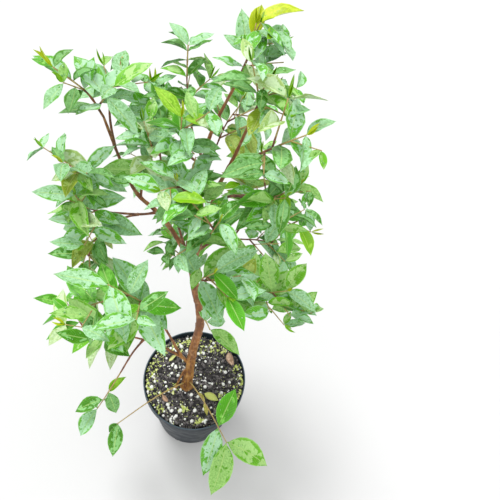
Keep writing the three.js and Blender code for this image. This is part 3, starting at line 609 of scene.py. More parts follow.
def finer_growth(mass, twigs, obstacles):
    """Smaller leaves where a leaf found no room, and small shoots in the corners of the leaves."""
    random = seeded_random(mass.seed + SHOOT_SEED_STEP)
    stem = twigs[0]

    def try_leaf(leaf, twig):
        blade = blade_piece(leaf, CLEARANCE, twig=twig, blade=True, node=leaf.node)

        def allowed(other):
            if other.twig is twig:
                return not other.blade or other.node == leaf.node
            return twig.bearer is not None and other.twig is twig.bearer and not other.blade

        if obstacles.blocks(blade, allowed) or not within_reach(blade, stem, mass.reach):
            return False
        obstacles.add([blade])
        twig.kept.append(leaf)
        return True

    shoots = []
    for twig in twigs:
        kept = {(leaf.node, leaf.side) for leaf in twig.kept}
        for leaf in twig.leaves:
            if (leaf.node, leaf.side) in kept:
                continue
            for share in SMALLER_LEAVES:
                smaller = SimpleNamespace(**vars(leaf))
                smaller.length = leaf.length * share
                if try_leaf(smaller, twig):
                    break
        for leaf in twig.leaves:
            draws = [random() for _ in range(DRAWS_PER_ORGAN)]
            if draws[0] > SHOOT_SHARE or leaf.node == twig.nodes:
                continue
            along = route_direction(twig.points, leaf.station)
            turn = pair_turn(along, leaf.node, draws[1])
            spread = math.radians(drawn(SHOOT_SPREAD, draws[2]))
            fall = drawn(TWIG_FALL, draws[3]) - SHOOT_LIFT
            heading = heading_from(along, turn, leaf.side, spread, fall)
            length = mass.leaf * drawn(SHOOT_LENGTH, draws[4])
            tip = leaf.root + heading * length
            small = mass.leaf * drawn(SHOOT_LEAF, draws[5])
            shoot = grow_twig(leaf.root, heading, tip, SHOOT_NODES, small, SHOOT_RADIUS,
                              SHOOT_BARE_SHARE, random)
            shoot.order, shoot.bearer = 2, twig
            wood = twig_piece(shoot, 0)
            if obstacles.blocks(wood, lambda other, bearer=twig: other.twig is bearer):
                continue
            if not within_reach(wood, stem, mass.reach):
                continue
            for small_leaf in shoot.leaves:
                try_leaf(small_leaf, shoot)
            if shoot.kept:
                obstacles.add([wood])
                shoots.append(shoot)
    return shoots


# Modelling by hand
DOUBLES = 1e-6


def deselect_everything():
    if bpy.context.object and bpy.context.object.mode != "OBJECT":
        bpy.ops.object.mode_set(mode="OBJECT")
    bpy.ops.object.select_all(action="DESELECT")


def take(*pieces):
    """Selects pieces, the first one active."""
    deselect_everything()
    for piece in pieces:
        piece.select_set(True)
    bpy.context.view_layer.objects.active = pieces[0]


def edit_points(piece):
    """Opens a piece in edit mode, with points as what is selected."""
    take(piece)
    bpy.ops.object.mode_set(mode="EDIT")
    bpy.ops.mesh.select_mode(type="VERT")
    bpy.ops.mesh.select_all(action="DESELECT")


def pick(piece, test):
    """Selects the points, and the faces between them, whose place passes a test."""
    shape = bmesh.from_edit_mesh(piece.data)
    for point in shape.verts:
        point.select = test(point.co)
    shape.select_flush_mode()
    bmesh.update_edit_mesh(piece.data)


def apply_modifiers(piece):
    take(piece)
    for modifier in list(piece.modifiers):
        bpy.ops.object.modifier_apply(modifier=modifier.name)


def face_outwards(piece):
    edit_points(piece)
    bpy.ops.mesh.select_all(action="SELECT")
    bpy.ops.mesh.remove_doubles(threshold=DOUBLES)
    bpy.ops.mesh.normals_make_consistent(inside=False)
    bpy.ops.object.mode_set(mode="OBJECT")


def finish_piece(piece, name, nodes, materials):
    """Names a piece, gives it its materials and place on the plant, and hides the solids of the nodes it
    stands for.
    """
    piece.name = name
    piece.data.name = name
    take(piece)
    bpy.ops.object.transform_apply(location=True, rotation=True, scale=True)
    piece.data.materials.clear()
    for material in materials:
        piece.data.materials.append(material)
    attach(piece, "root")
    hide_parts(*nodes)


def joined_mesh(name, corners, faces, smooth=True, finish=None):
    """One object from arrays of corners, in metres, and faces."""
    mesh = bpy.data.meshes.new(name)
    mesh.from_pydata(np.asarray(corners).tolist(), [], faces)
    mesh.polygons.foreach_set("use_smooth", [smooth] * len(faces))
    if finish is not None:
        mesh.polygons.foreach_set("material_index", finish)
    piece = bpy.data.objects.new(name, mesh)
    bpy.context.scene.collection.objects.link(piece)
    return piece


def mesh_arrays(piece):
    """The corners and faces of a modelled piece, which is then put away."""
    corners = np.array([tuple(point.co) for point in piece.data.vertices])
    faces = [tuple(face.vertices) for face in piece.data.polygons]
    finish = [face.material_index for face in piece.data.polygons]
    bpy.data.objects.remove(piece)
    return corners, faces, finish


# Leaves: the outline as stations along the leaf and half widths, in leaf lengths
LEAF_OUTLINE = ((0.0, 0.0004), (0.05, 0.02), (0.12, 0.092), (0.22, 0.165), (0.35, 0.216), (0.49, 0.230),
                (0.63, 0.207), (0.77, 0.150), (0.885, 0.074), (0.955, 0.023), (1.0, 0.0004))
LEAF_ROWS = len(LEAF_OUTLINE) - 1
LEAF_COLUMNS = 4
BESIDE_MIDRIB = 0.1
AT_MARGIN = 0.4
ROW_REACH = 0.01
MARGIN_ANGLE = math.radians(75)
WAVE_ANGLE = 11.0
WAVE_LAG = 1.9
KEEL_DEPTH = 0.012
END_DOUBLES = 0.0012
# Rows that have their shape wait this far away, so that the next row is picked alone
ASIDE = 2


def leaf_blank(fold, curl, wave, twist, cup, sway):
    """A leaf one unit long: fold lifts both halves, curl drops the tip, wave ripples the margins,
    twist turns the tip, cup rounds the halves and sway bends the midrib sideways."""
    deselect_everything()
    bpy.ops.mesh.primitive_grid_add(x_subdivisions=LEAF_ROWS, y_subdivisions=LEAF_COLUMNS, size=1,
                                    location=(0.5, 0, 0))
    blade = bpy.context.object
    bpy.ops.object.transform_apply(location=True, rotation=False, scale=False)
    across = blade.data.attributes.new("across", "FLOAT", "POINT")
    across.data.foreach_set("value", [2 * point.co.y for point in blade.data.vertices])
    edit_points(blade)
    pick(blade, lambda co: abs(co.y) > BESIDE_MIDRIB)
    bpy.ops.transform.translate(value=(0, 0, fold * 0.5 + cup))
    pick(blade, lambda co: abs(co.y) > AT_MARGIN)
    bpy.ops.transform.translate(value=(0, 0, fold * 0.5))
    for row in range(1, LEAF_ROWS):
        x = row / LEAF_ROWS
        here = LEAF_OUTLINE[row][0]
        for side, phase in ((1, 0.0), (-1, WAVE_LAG)):
            ripple = wave * math.sin(WAVE_ANGLE * here + phase) / 2
            for inner in (BESIDE_MIDRIB, AT_MARGIN):
                pick(blade, lambda co: abs(co.x - x) < ROW_REACH and co.y * side > inner)
                bpy.ops.transform.translate(value=(0, 0, ripple))
    for row, (station, half_width) in reversed(list(enumerate(LEAF_OUTLINE))):
        x = row / LEAF_ROWS
        pick(blade, lambda co: abs(co.x - x) < ROW_REACH)
        bpy.ops.transform.resize(value=(1, 2 * half_width, 2 * half_width), center_override=(x, 0, 0))
        if twist:
            bpy.ops.transform.rotate(value=twist * station, orient_axis="X", center_override=(x, 0, 0))
        bpy.ops.transform.translate(value=(ASIDE + station - x, sway * (station - station**2),
                                           -curl * station**2))
    bpy.ops.mesh.select_all(action="SELECT")
    bpy.ops.transform.translate(value=(-ASIDE, 0, 0))
    bpy.ops.object.mode_set(mode="OBJECT")
    add_underside(blade)
    across = np.array([share.value for share in blade.data.attributes["across"].data])
    return *mesh_arrays(blade), across


def add_underside(blade):
    """Closes a blade with an underside: two strips that run from the margins to a keel."""
    blade.data.materials.append(None)
    blade.data.materials.append(None)
    edit_points(blade)
    shape = bmesh.from_edit_mesh(blade.data)
    shape.verts.ensure_lookup_table()
    across = [[shape.verts[column * (LEAF_ROWS + 1) + row] for row in range(LEAF_ROWS + 1)]
              for column in range(LEAF_COLUMNS + 1)]
    midrib = across[LEAF_COLUMNS // 2]
    keel = [shape.verts.new(point.co - point.normal * KEEL_DEPTH) for point in midrib[1:-1]]
    keel = [midrib[0], *keel, midrib[-1]]
    for margin in (across[0], across[-1]):
        for row in range(LEAF_ROWS):
            under = shape.faces.new((margin[row], margin[row + 1], keel[row + 1], keel[row]))
            under.material_index = 1
            under.smooth = True
    bmesh.update_edit_mesh(blade.data)
    bpy.ops.mesh.select_all(action="SELECT")
    bpy.ops.mesh.remove_doubles(threshold=END_DOUBLES)
    bpy.ops.mesh.normals_make_consistent(inside=False)
    bpy.ops.object.mode_set(mode="OBJECT")


# Forms of leaf, from nearly flat to folded, rippled, twisted and cupped, and last the young leaf's
LEAF_FORMS = (
    dict(fold=0.08, curl=0.02, wave=0.05, twist=0.0, cup=0.05, sway=0.0),
    dict(fold=0.20, curl=0.07, wave=0.04, twist=0.0, cup=0.06, sway=0.09),
    dict(fold=0.10, curl=0.11, wave=0.08, twist=0.28, cup=0.05, sway=-0.12),
    dict(fold=0.16, curl=-0.05, wave=0.07, twist=-0.24, cup=0.07, sway=0.13),
    dict(fold=0.34, curl=0.06, wave=0.05, twist=0.12, cup=0.06, sway=-0.08),
    dict(fold=0.03, curl=-0.06, wave=0.09, twist=-0.12, cup=0.06, sway=0.08),
    dict(fold=0.3, curl=-0.03, wave=0.02, twist=0.1, cup=0.05, sway=0.05),
)
YOUNG_LEAF = len(LEAF_FORMS) - 1

# How the tones of a mass deal out its sprays, as shares of the kinds of leaf
TONES = {
    "mint": dict(mint=0.58, fresh=0.15, glossy=0.05, deep=0.16, olive=0.02, pale=0.04),
    "pale": dict(mint=0.52, fresh=0.10, glossy=0.03, deep=0.15, olive=0.04, pale=0.16),
    "fresh": dict(mint=0.28, fresh=0.42, glossy=0.10, deep=0.14, olive=0.03, pale=0.03),
    # The deep tone deals more of the darker kind, which is partly painted shade
    "deep": dict(mint=0.14, fresh=0.34, deep=0.32, olive=0.10, pale=0.10),
    "wet": dict(mint=0.45, fresh=0.55),
    "low": dict(mint=0.34, fresh=0.30, glossy=0.10, deep=0.22, pale=0.04),
}


def kind_of(tone, draw):
    """The kind that a draw from 0 to 1 falls on."""
    for kind, share in TONES[tone].items():
        draw -= share
        if draw <= 0:
            break
    return kind


GROWN_KINDS = ("mint", "fresh", "glossy", "deep", "olive", "pale")
YOUNG_KINDS = ("young", "bright")
LEAF_SEED = 9176
LEAF_WIDTH = (0.84, 1.06)
LEAF_GROWTH = 1.08
LEAF_RISE = (0.08, 0.32)
LAST_PAIR_RISE = 0.3
STEEPEST_LEAF = 0.5
LEAST_LEVEL = 0.001
STRAY_SHARE = 0.35
YOUNG_SHARE = 0.1
# Leaves whose place shows plainly, by mass: the twig's place in its mass, where 0 is the stem, node and
# side, then heading, length in millimetres, form and, where it isn't the one that was dealt, kind
HELD_LEAVES = {
    "leaves_top": {
        (0, 0, 1): ((-0.90, -0.05, 0.20), 28, 5, "mint"),
        (0, 1, 1): ((-0.30, 0.72, 0.62), 43, 0, "mint"),
        (0, 1, -1): ((0.88, 0.20, 0.20), 34, 3, "mint"),
        (0, 3, 1): ((0.02, 0.70, 0.70), 31, 4, "bright"),
        (0, 4, 1): ((0.05, 0.62, 0.78), 11, 4),
        (0, 4, -1): ((0.81, 0.41, 0.40), 41, 1),
        (3, 0, -1): ((-0.75, -0.60, -0.15), 20, 0, "mint"),
        (3, 1, 1): ((0.92, -0.45, -0.15), 30, 1, "mint"),
        (3, 2, 1): ((0.85, -0.30, -0.35), 24, 0, "mint"),
        (3, 2, -1): ((0.70, 0.30, 0.40), 11, 4, "bright"),
        (5, 0, 1): ((0.95, -0.10, -0.10), 24, 5, "mint"),
        (5, 1, 1): ((0.75, -0.50, -0.30), 20, 3),
    },
    "leaves_upper_right": {
        (0, 3, 1): ((-0.60, 0.50, 0.50), 30, 3),
    },
    "leaves_right_upper": {
        (0, 4, 1): ((0.72, 0.52, 0.42), 26, 1, "mint"),
        (0, 4, -1): ((0.25, -0.90, -0.30), 18, 0, "mint"),
        (3, 0, 1): ((0.25, -0.85, -0.40), 18, 0, "mint"),
        (3, 1, 1): ((0.35, -0.80, -0.40), 14, 0, "fresh"),
        (3, 1, -1): ((-0.60, -0.75, -0.20), 14, 4, "fresh"),
    },
    "leaves_right": {
        (0, 3, -1): ((0.20, -0.90, -0.20), 24, 4, "young"),
        (0, 4, 1): ((0.25, 0.75, 0.45), 22, 0, "fresh"),
        (0, 4, -1): ((0.90, -0.25, 0.05), 25, 1, "fresh"),
        (1, 0, 1): ((-0.50, -0.75, 0.10), 26, 0, "fresh"),
        (1, 1, 1): ((-0.75, -0.30, 0.20), 24, 1, "mint"),
        (2, 1, 1): ((-0.20, -0.90, -0.10), 24, 0, "fresh"),
        (2, 2, 1): ((0.20, -0.85, -0.20), 22, 3, "mint"),
        (4, 1, 1): ((-0.30, -0.80, -0.30), 14, 0),
        (4, 1, -1): ((0.10, -0.90, -0.20), 14, 1),
    },
    "leaves_right_tip": {
        (0, 3, -1): ((0.63, -0.67, -0.39), 31, 1, "young"),
        (0, 4, 1): ((-0.25, 0.75, 0.50), 26, 0, "mint"),
    },
    "leaves_front_upper": {
        (0, 0, 1): ((0.96, 0.12, 0.00), 42, 1, "fresh"),
        (0, 1, -1): ((-0.85, 0.10, 0.30), 34, 0, "mint"),
        (0, 4, -1): ((0.65, -0.70, -0.10), 30, 1, "mint"),
        (1, 0, 1): ((0.90, 0.20, 0.10), 24, 1),
        (1, 0, -1): ((-0.35, -0.85, -0.20), 22, 3),
        (1, 1, 1): ((-0.50, -0.80, 0.10), 15, 0),
        (1, 2, -1): ((0.30, -0.85, -0.20), 16, 1),
        (2, 1, 1): ((-0.30, -0.85, -0.15), 22, 0, "mint"),
        (3, 1, 1): ((0.80, 0.35, 0.40), 22, 0, "fresh"),
    },
    "leaves_front": {
        (0, 1, -1): ((0.62, -0.76, -0.10), 50, 0, "mint"),
        (0, 2, -1): ((0.60, 0.62, 0.50), 50, 1, "fresh"),
        (0, 4, -1): ((0.80, -0.50, -0.10), 32, 0, "glossy"),
        (2, 1, -1): ((0.55, -0.80, -0.15), 20, 4, "fresh"),
        (2, 2, -1): ((0.62, -0.75, -0.15), 34, 0, "glossy"),
    },
    "leaves_right_low": {
        (0, 4, -1): ((0.93, -0.35, 0.05), 36, 1, "mint"),
        (1, 0, -1): ((-0.45, -0.75, 0.10), 26, 0, "fresh"),
        (1, 1, -1): ((-0.85, 0.10, 0.10), 28, 1, "mint"),
        (1, 2, -1): ((0.30, 0.80, 0.40), 16, 0),
        (2, 1, -1): ((-0.85, -0.15, 0.15), 34, 5),
        (3, 0, 1): ((0.95, -0.15, 0.05), 46, 1, "mint"),
        (3, 0, -1): ((-0.80, -0.25, 0.10), 28, 0, "mint"),
        (3, 2, 1): ((0.92, 0.05, -0.10), 28, 1, "mint"),
        (3, 2, -1): ((0.75, 0.45, 0.30), 32, 0, "mint"),
        (6, 0, -1): ((-0.30, 0.80, 0.45), 18, 3),
        (6, 1, -1): ((-0.75, 0.35, 0.30), 18, 0, "fresh"),
    },
    "leaves_on_trunk": {
        (0, 0, -1): ((-0.15, 0.55, 0.82), 44, 0),
        (0, 1, 1): ((0.90, -0.40, -0.05), 48, 1, "fresh"),
        (0, 1, -1): ((0.80, -0.15, -0.50), 26, 3),
    },
    "leaves_middle_shoot": {
        (0, 2, 1): ((-0.90, 0.10, 0.30), 26, 1),
        (0, 2, -1): ((0.50, 0.62, 0.50), 26, 3),
        (0, 4, 1): ((0.72, 0.55, 0.42), 27, 0, "mint"),
        (0, 4, -1): ((-0.62, 0.45, 0.50), 28, 1, "mint"),
    },
    "leaves_left_shoot": {
        (0, 4, 1): ((-0.75, 0.20, 0.35), 22, 1),
        (0, 4, -1): ((0.70, 0.45, 0.45), 24, 0),
    },
    "leaves_bright_shoot": {
        (0, 3, 1): ((-0.69, 0.35, 0.50), 33, 0),
        (0, 3, -1): ((0.94, -0.02, 0.02), 32, 1),
    },
    "leaves_upper_left": {
        (0, 0, -1): ((-0.93, -0.33, -0.05), 32, 0, "deep"),
        (0, 1, 1): ((0.66, 0.62, 0.42), 44, 1, "mint"),
        (0, 2, 1): ((-0.20, -0.95, -0.10), 24, 4),
        (0, 2, -1): ((0.05, 0.72, 0.60), 28, 0, "mint"),
        (0, 3, 1): ((0.60, 0.60, 0.50), 20, 4),
        (0, 3, -1): ((-0.88, 0.30, 0.36), 38, 1, "mint"),
        (0, 4, 1): ((-0.90, 0.10, 0.20), 18, 0),
        (0, 4, -1): ((0.40, 0.65, 0.62), 20, 1),
        (1, 1, 1): ((-0.72, 0.50, 0.48), 42, 1, "mint"),
        (1, 2, 1): ((0.64, 0.58, 0.50), 36, 0, "fresh"),
        (2, 0, -1): ((0.10, -0.90, -0.30), 24, 3, "deep"),
        (2, 1, 1): ((-0.20, 0.70, 0.60), 16, 4, "fresh"),
        (2, 1, -1): ((-0.35, -0.80, -0.35), 25, 0, "mint"),
    },
    "leaves_upper_left_inner": {
        (0, 0, 1): ((-0.75, -0.55, 0.04), 32, 0),
        (0, 0, -1): ((0.90, -0.30, 0.10), 30, 5),
        (2, 2, 1): ((-0.50, -0.80, -0.30), 16, 0),
        (2, 2, -1): ((0.55, -0.80, -0.20), 18, 1),
    },
    "leaves_low_front": {
        (0, 1, 1): ((0.72, -0.60, 0.10), 32, 5),
        (0, 3, 1): ((0.20, 0.75, 0.55), 36, 0),
        (0, 4, 1): ((0.55, -0.82, -0.12), 52, 1),
        (0, 4, -1): ((-0.96, -0.10, 0.22), 46, 0),
    },
    "leaves_low_hanging": {
        (0, 0, -1): ((0.55, 0.60, 0.58), 28, YOUNG_LEAF, "young"),
        (0, 2, 1): ((-0.35, -0.80, -0.45), 42, 4),
    },
    "leaves_foot_left": {
        (0, 0, -1): ((-0.60, -0.62, -0.50), 20, 4, "deep"),
    },
    "leaves_foot_right": {
        (0, 0, 1): ((0.22, 0.92, 0.15), 58, 0, "glossy"),
        (0, 0, -1): ((-0.10, -0.90, -0.42), 66, 5, "mint"),
        (0, 1, 1): ((0.92, -0.22, -0.08), 66, 1),
    },
}
# Place along the stalk, side, length in millimetres and seed of each dried leaf
DRIED_ON_STALK = ((0.28, 1, 17, 0.31), (0.46, -1, 19, 0.62))
DRIED_ASIDE = 0.3
DRIED_FALL = 0.35
DRIED_FORM = 4
DRIED_WIDTH = 0.7
DRIED_DROOP = 0.1
# Buds: the share of twigs that end in them, for stems, side twigs and shoots, and their shape
BUD_SHARE = (0.9, 0.45, 0.2)
BUD_RISE = 0.5
BUD_LENGTH = 14
BUD_SIZE = (0.75, 1.3)
BUD_PAIR = (0.7, 1.0)
BUD_SPREAD = (4, 15)
BUD_FALL = -0.1
BUD_LEAN = 0.2
BUD_WIDTH = 0.32


def deal_leaves(masses):
    """A kind and a form for every leaf: sprays share a kind, and some leaves stray from it."""
    dealt = {kind: [] for kind in GROWN_KINDS + YOUNG_KINDS}
    random = seeded_random(LEAF_SEED)
    for mass, twigs in masses:
        held_here = HELD_LEAVES.get(mass.name, {})
        for place, twig in enumerate(twigs):
            spray = kind_of(mass.tone, random())
            for leaf in twig.kept:
                stray = random()
                kind = kind_of(mass.tone, random()) if stray < STRAY_SHARE else spray
                last = leaf.node == twig.nodes
                if mass.tips in YOUNG_KINDS and last and twig.order == 0:
                    kind = mass.tips
                elif mass.tips != "none" and last and twig.order == 2 and stray < YOUNG_SHARE:
                    kind = "young"
                if mass.tips != "none":
                    rise = drawn(LEAF_RISE, random()) + (LAST_PAIR_RISE if last and twig.order < 2 else 0)
                    lift_leaf(leaf, rise)
                    leaf.length *= LEAF_GROWTH
                leaf.form = int(random() * YOUNG_LEAF)
                held = held_here.get((place, leaf.node, leaf.side))
                if held:
                    heading, leaf.length, leaf.form, *own_kind = held
                    kind = own_kind[0] if own_kind else kind
                    leaf.direction = unit(np.array(heading))
                    leaf.face = square_to(leaf.direction, SKY)
                leaf.width = drawn(LEAF_WIDTH, random())
                leaf.seed = random()
                dealt[kind].append(leaf)
            if mass.tips != "none":
                dealt["bright" if twig.order == 0 else "young"] += tip_buds(twig, random)
    return dealt


def lift_leaf(leaf, rise):
    """Lifts a leaf towards the light, less the steeper it stands, and no further than the steepest."""
    steepness = min(max(leaf.direction[2] / STEEPEST_LEAF, 0), 1)
    direction = unit(leaf.direction + SKY * rise * (1 - steepness))
    if direction[2] > STEEPEST_LEAF:
        level = math.hypot(direction[0], direction[1])
        flat = math.sqrt(1 - STEEPEST_LEAF**2) / max(level, LEAST_LEVEL)
        direction = unit(np.array((direction[0] * flat, direction[1] * flat, STEEPEST_LEAF)))
    leaf.direction = direction
    leaf.face = square_to(direction, leaf.face)


def tip_buds(twig, random):
    """A pair of narrow unopened leaves that stand up like a spear at a twig's tip."""
    if random() > BUD_SHARE[twig.order]:
        return []
    direction = unit(route_direction(twig.points, 1) + SKY * BUD_RISE)
    turn = math.radians(360 * random())
    size = BUD_LENGTH * drawn(BUD_SIZE, random())
    buds = []
    for side in (1, -1):
        heading = heading_from(direction, turn, side, math.radians(drawn(BUD_SPREAD, random())), BUD_FALL)
        buds.append(SimpleNamespace(
            root=route_point(twig.points, 1), direction=heading,
            face=square_to(heading, direction * BUD_LEAN + np.cross(heading, EAST) * side),
            length=size * drawn(BUD_PAIR, random()), droop=0.0, form=YOUNG_LEAF, width=BUD_WIDTH,
            seed=random()))
    return buds


def dried_leaves(masses):
    """Two narrow dried leaves that hang along the stalk of the shoot at the right of the pot."""
    stalk = next(twigs[0] for mass, twigs in masses if mass.name == "leaves_foot_right")
    dried = []
    for station, side, length, seed in DRIED_ON_STALK:
        along = route_direction(stalk.points, station)
        direction = unit(along + EAST * side * DRIED_ASIDE - SKY * DRIED_FALL)
        dried.append(SimpleNamespace(
            root=route_point(stalk.points, station), direction=direction, face=square_to(direction, SKY),
            length=length, droop=DRIED_DROOP, form=DRIED_FORM, width=DRIED_WIDTH, seed=seed))
    return dried


# How far each leaf's seed shifts the pattern of water on it, along and across, and where that repeats
WATER_SHIFT = (97.0, 1013.0)
WATER_REPEAT = 53.0
MM_PER_CM = 10


def leaf_piece(name, leaves, blanks):
    """All leaves of one kind joined, with their blade and wet coordinates."""
    corners, faces, finish, blade_places, wet_places = [], [], [], [], []
    count = 0
    for leaf in leaves:
        points, blank_faces, blank_finish, share_across = blanks[leaf.form]
        across = np.cross(leaf.face, leaf.direction)
        lift = points[:, 2] - leaf.droop * points[:, 0] ** 2
        placed = (leaf.root + leaf.length * (
            np.outer(points[:, 0], leaf.direction) + np.outer(lift, leaf.face)
            + np.outer(points[:, 1] * leaf.width, across)))
        corners.append(placed * MM)
        faces += [tuple(index + count for index in face) for face in blank_faces]
        finish += blank_finish
        count += len(points)
        blade_places.append(np.column_stack((points[:, 0], share_across)))
        offset = np.array((leaf.seed * WATER_SHIFT[0], (leaf.seed * WATER_SHIFT[1]) % WATER_REPEAT))
        wet_places.append(points[:, :2] * leaf.length / MM_PER_CM + offset)
    piece = joined_mesh(name, np.concatenate(corners), faces, finish=finish)
    loops = np.array([index for face in faces for index in face])
    for layer, places in (("blade", blade_places), ("wet", wet_places)):
        uv = piece.data.uv_layers.new(name=layer)
        uv.data.foreach_set("uv", np.concatenate(places)[loops].ravel())
    return piece


# Beads of water that stand on the upper faces: each step of a bead's dome is its rise and narrowing
BEAD_SEED = 3331
BEAD_SPACING = 5.2
BEAD_RADIUS = (0.45, 1.2)
BEAD_POINTS = 7
BEAD_STEPS = ((0.42, 0.72), (0.18, 0.42))
BEADED_SHARE = 0.8
BEAD_STATIONS = (0.14, 0.86)
BEAD_MARGIN = 0.8
NEAREST_POINTS = 4
TOUCHING = 1e-4


def bead_blank():
    """A low dome, one unit in radius."""
    deselect_everything()
    bpy.ops.mesh.primitive_circle_add(vertices=BEAD_POINTS, radius=1, fill_type="NGON")
    dome = bpy.context.object
    edit_points(dome)
    bpy.ops.mesh.select_all(action="SELECT")
    for rise, narrowing in BEAD_STEPS:
        bpy.ops.mesh.extrude_region_move(TRANSFORM_OT_translate={"value": (0, 0, rise)})
        bpy.ops.transform.resize(value=(narrowing, narrowing, 1))
    bpy.ops.mesh.normals_make_consistent(inside=False)
    bpy.ops.object.mode_set(mode="OBJECT")
    return mesh_arrays(dome)


def place_beads(dealt, blanks, bead):
    """Beads strewn over the upper faces of the larger leaves."""
    random = seeded_random(BEAD_SEED)
    points, bead_faces, _ = bead
    corners, faces, count = [], [], 0
    for kind in GROWN_KINDS:
        for leaf in dealt[kind]:
            beads = int(leaf.length / BEAD_SPACING) if random() < BEADED_SHARE else 0
            across = np.cross(leaf.face, leaf.direction)
            blank_points = blanks[leaf.form][0]
            for _ in range(beads):
                station = drawn(BEAD_STATIONS, random())
                half = np.interp(station, *zip(*LEAF_OUTLINE)) * BEAD_MARGIN
                v = drawn((-half, half), random())
                distance = (blank_points[:, 0] - station) ** 2 + (blank_points[:, 1] - v) ** 2
                nearest = np.argsort(distance)[:NEAREST_POINTS]
                weights = 1 / (distance[nearest] + TOUCHING)
                lift = float((blank_points[nearest, 2] * weights).sum() / weights.sum())
                lift = lift - leaf.droop * station**2
                centre = leaf.root + leaf.length * (
                    station * leaf.direction + v * leaf.width * across + lift * leaf.face)
                radius = drawn(BEAD_RADIUS, random() ** 2)
                placed = centre + radius * (
                    np.outer(points[:, 0], leaf.direction) + np.outer(points[:, 1], across)
                    + np.outer(points[:, 2], leaf.face))
                corners.append(placed * MM)
                faces += [tuple(index + count for index in face) for face in bead_faces]
                count += len(points)
    return joined_mesh("water_beads", np.concatenate(corners), faces)


# Twigs: woody at the foot, green towards the tip, swollen at each pair of leaves
GREEN_FROM = {0: 0.55, 1: 0.25, 2: 0.0}
STEM_TIP = 0.5
BARE_STEM_TIP = 0.65
SIDE_TWIG_TIP = 0.42
FOOT_SHARE = 0.95
SWELLING = 0.3
SWELLING_REACH = 1.3
TWIG_SPACING = 3.5
FEWEST_STEPS = 3
STEM_SIDES = 7
SIDE_TWIG_SIDES = 6
SHORTEST_PART = 0.01


def closed_walls(sides, steps):
    """The faces of a tube, with both ends closed."""
    ends = [tuple(reversed(range(sides))), tuple(range(steps * sides, (steps + 1) * sides))]
    return tube_walls(sides, steps) + ends


def twig_tubes(name, masses, green):
    """The woody or the green part of every twig, joined."""
    corners, faces, count = [], [], 0
    for mass, twigs in masses:
        few = mass.tips == "none"
        for twig in twigs:
            turn_green = 0.0 if few else GREEN_FROM[twig.order]
            start, end = (turn_green, 1.0) if green else (0.0, turn_green)
            if end - start < SHORTEST_PART:
                continue
            stations = sorted({leaf.station for leaf in twig.leaves})
            tip_radius = SIDE_TWIG_TIP if twig.order else BARE_STEM_TIP if few else STEM_TIP
            foot_radius = twig.radius * FOOT_SHARE

            def radius(t):
                swell = sum(math.exp(-(((t - s) * twig.length / SWELLING_REACH) ** 2)) for s in stations)
                return mix(foot_radius, tip_radius, t) * (1 + SWELLING * min(swell, 1))

            steps = max(FEWEST_STEPS, round(twig.length * (end - start) / TWIG_SPACING))
            sides = STEM_SIDES if twig.order == 0 else SIDE_TWIG_SIDES
            rings = tube_rings(twig.points, radius, sides, steps, twig.direction, start, end)
            corners.append(rings.reshape(-1, 3) * MM)
            faces += [tuple(index + count for index in face) for face in closed_walls(sides, steps)]
            count += rings.shape[0] * sides
    return joined_mesh(name, np.concatenate(corners), faces)


# Bark: the trunk and the main boughs become one skin, and thinner limbs are tubes sunk into it
MAIN_LIMBS = ("trunk", "leader", "bough_left", "bough_right", "low_bough", "low_side_bough")
MAIN_TUBE = dict(sides=14, spacing=2.5, collar=0.9)
THIN_TUBE = dict(sides=9, spacing=2.2, collar=0.7)
ROOT_TUBE = dict(sides=9, spacing=2.5, collar=0.5)
FEWEST_RINGS = 8
COLLAR_REACH = 4.5
KNOT_PLACE = (0.06, 0.97)
KNOT_SIZE = (0.04, 0.15)
KNOT_REACH = 2.4
KNOT_SPACING = 14
BARK_VOXEL = 0.00062
FORK_EASE = 0.5
FORK_EASE_TURNS = 4
# Relief: how close the ridges and warts stand, across and along the trunk, and how high, in millimetres
RIDGES = (0.42, 0.04)
RIDGE_LAYERS = (0.8, 2.1, 3)
RIDGE_HEIGHT = 0.24
WARTS = (0.9, 0.6)
WART_HEIGHT = 0.08
# The lobes of the flare: number, depth in millimetres, height that they fade over in metres, and turn
LOBES = 5
LOBE_DEPTH = 0.6
LOBE_FADE = 0.010
LOBE_TURN = 0.6
# The height in metres from which the relief grows shallower, over what height, and by how much at most
SLENDER_FROM = 0.40
SLENDER_OVER = 0.1
SLENDER_MOST = 0.6
# The thin root that stands free beside the foot of the trunk: radius and points, in millimetres
SIDE_ROOT_RADIUS = 1.7
SIDE_ROOT = ((-26, -17, 130), (-23.4, -14.5, 142), (-20.6, -11, 157), (-15.2, -5, 178))


def limb_object(limb, sides, spacing, collar):
    """A limb's tube, with a collar where it leaves its parent and slight swellings along it."""
    length = route_length(limb.points)
    steps = max(FEWEST_RINGS, round(length / spacing))
    random = seeded_random(sum(map(ord, limb.name)))
    knots = [(drawn(KNOT_PLACE, random()), drawn(KNOT_SIZE, random()))
             for _ in range(int(length / KNOT_SPACING) + 2)]

    def radius(t):
        swell = sum(size * math.exp(-(((t - place) * length / KNOT_REACH) ** 2)) for place, size in knots)
        return limb.radius(t) * (1 + swell) + collar * math.exp(-t * length / COLLAR_REACH)

    rings = tube_rings(limb.points, radius, sides, steps, limb.direction)
    return joined_mesh(limb.name + "_tube", rings.reshape(-1, 3) * MM, closed_walls(sides, steps))


def bark_height(place):
    """Long ridges, plates and small warts of the bark, in millimetres, at a place in metres."""
    p = Vector(place) / MM
    ridges = noise.fractal(Vector((p.x * RIDGES[0], p.y * RIDGES[0], p.z * RIDGES[1])), *RIDGE_LAYERS)
    warts = noise.noise(Vector((p.x * WARTS[0], p.y * WARTS[0], p.z * WARTS[1])))
    return RIDGE_HEIGHT * ridges + WART_HEIGHT * warts


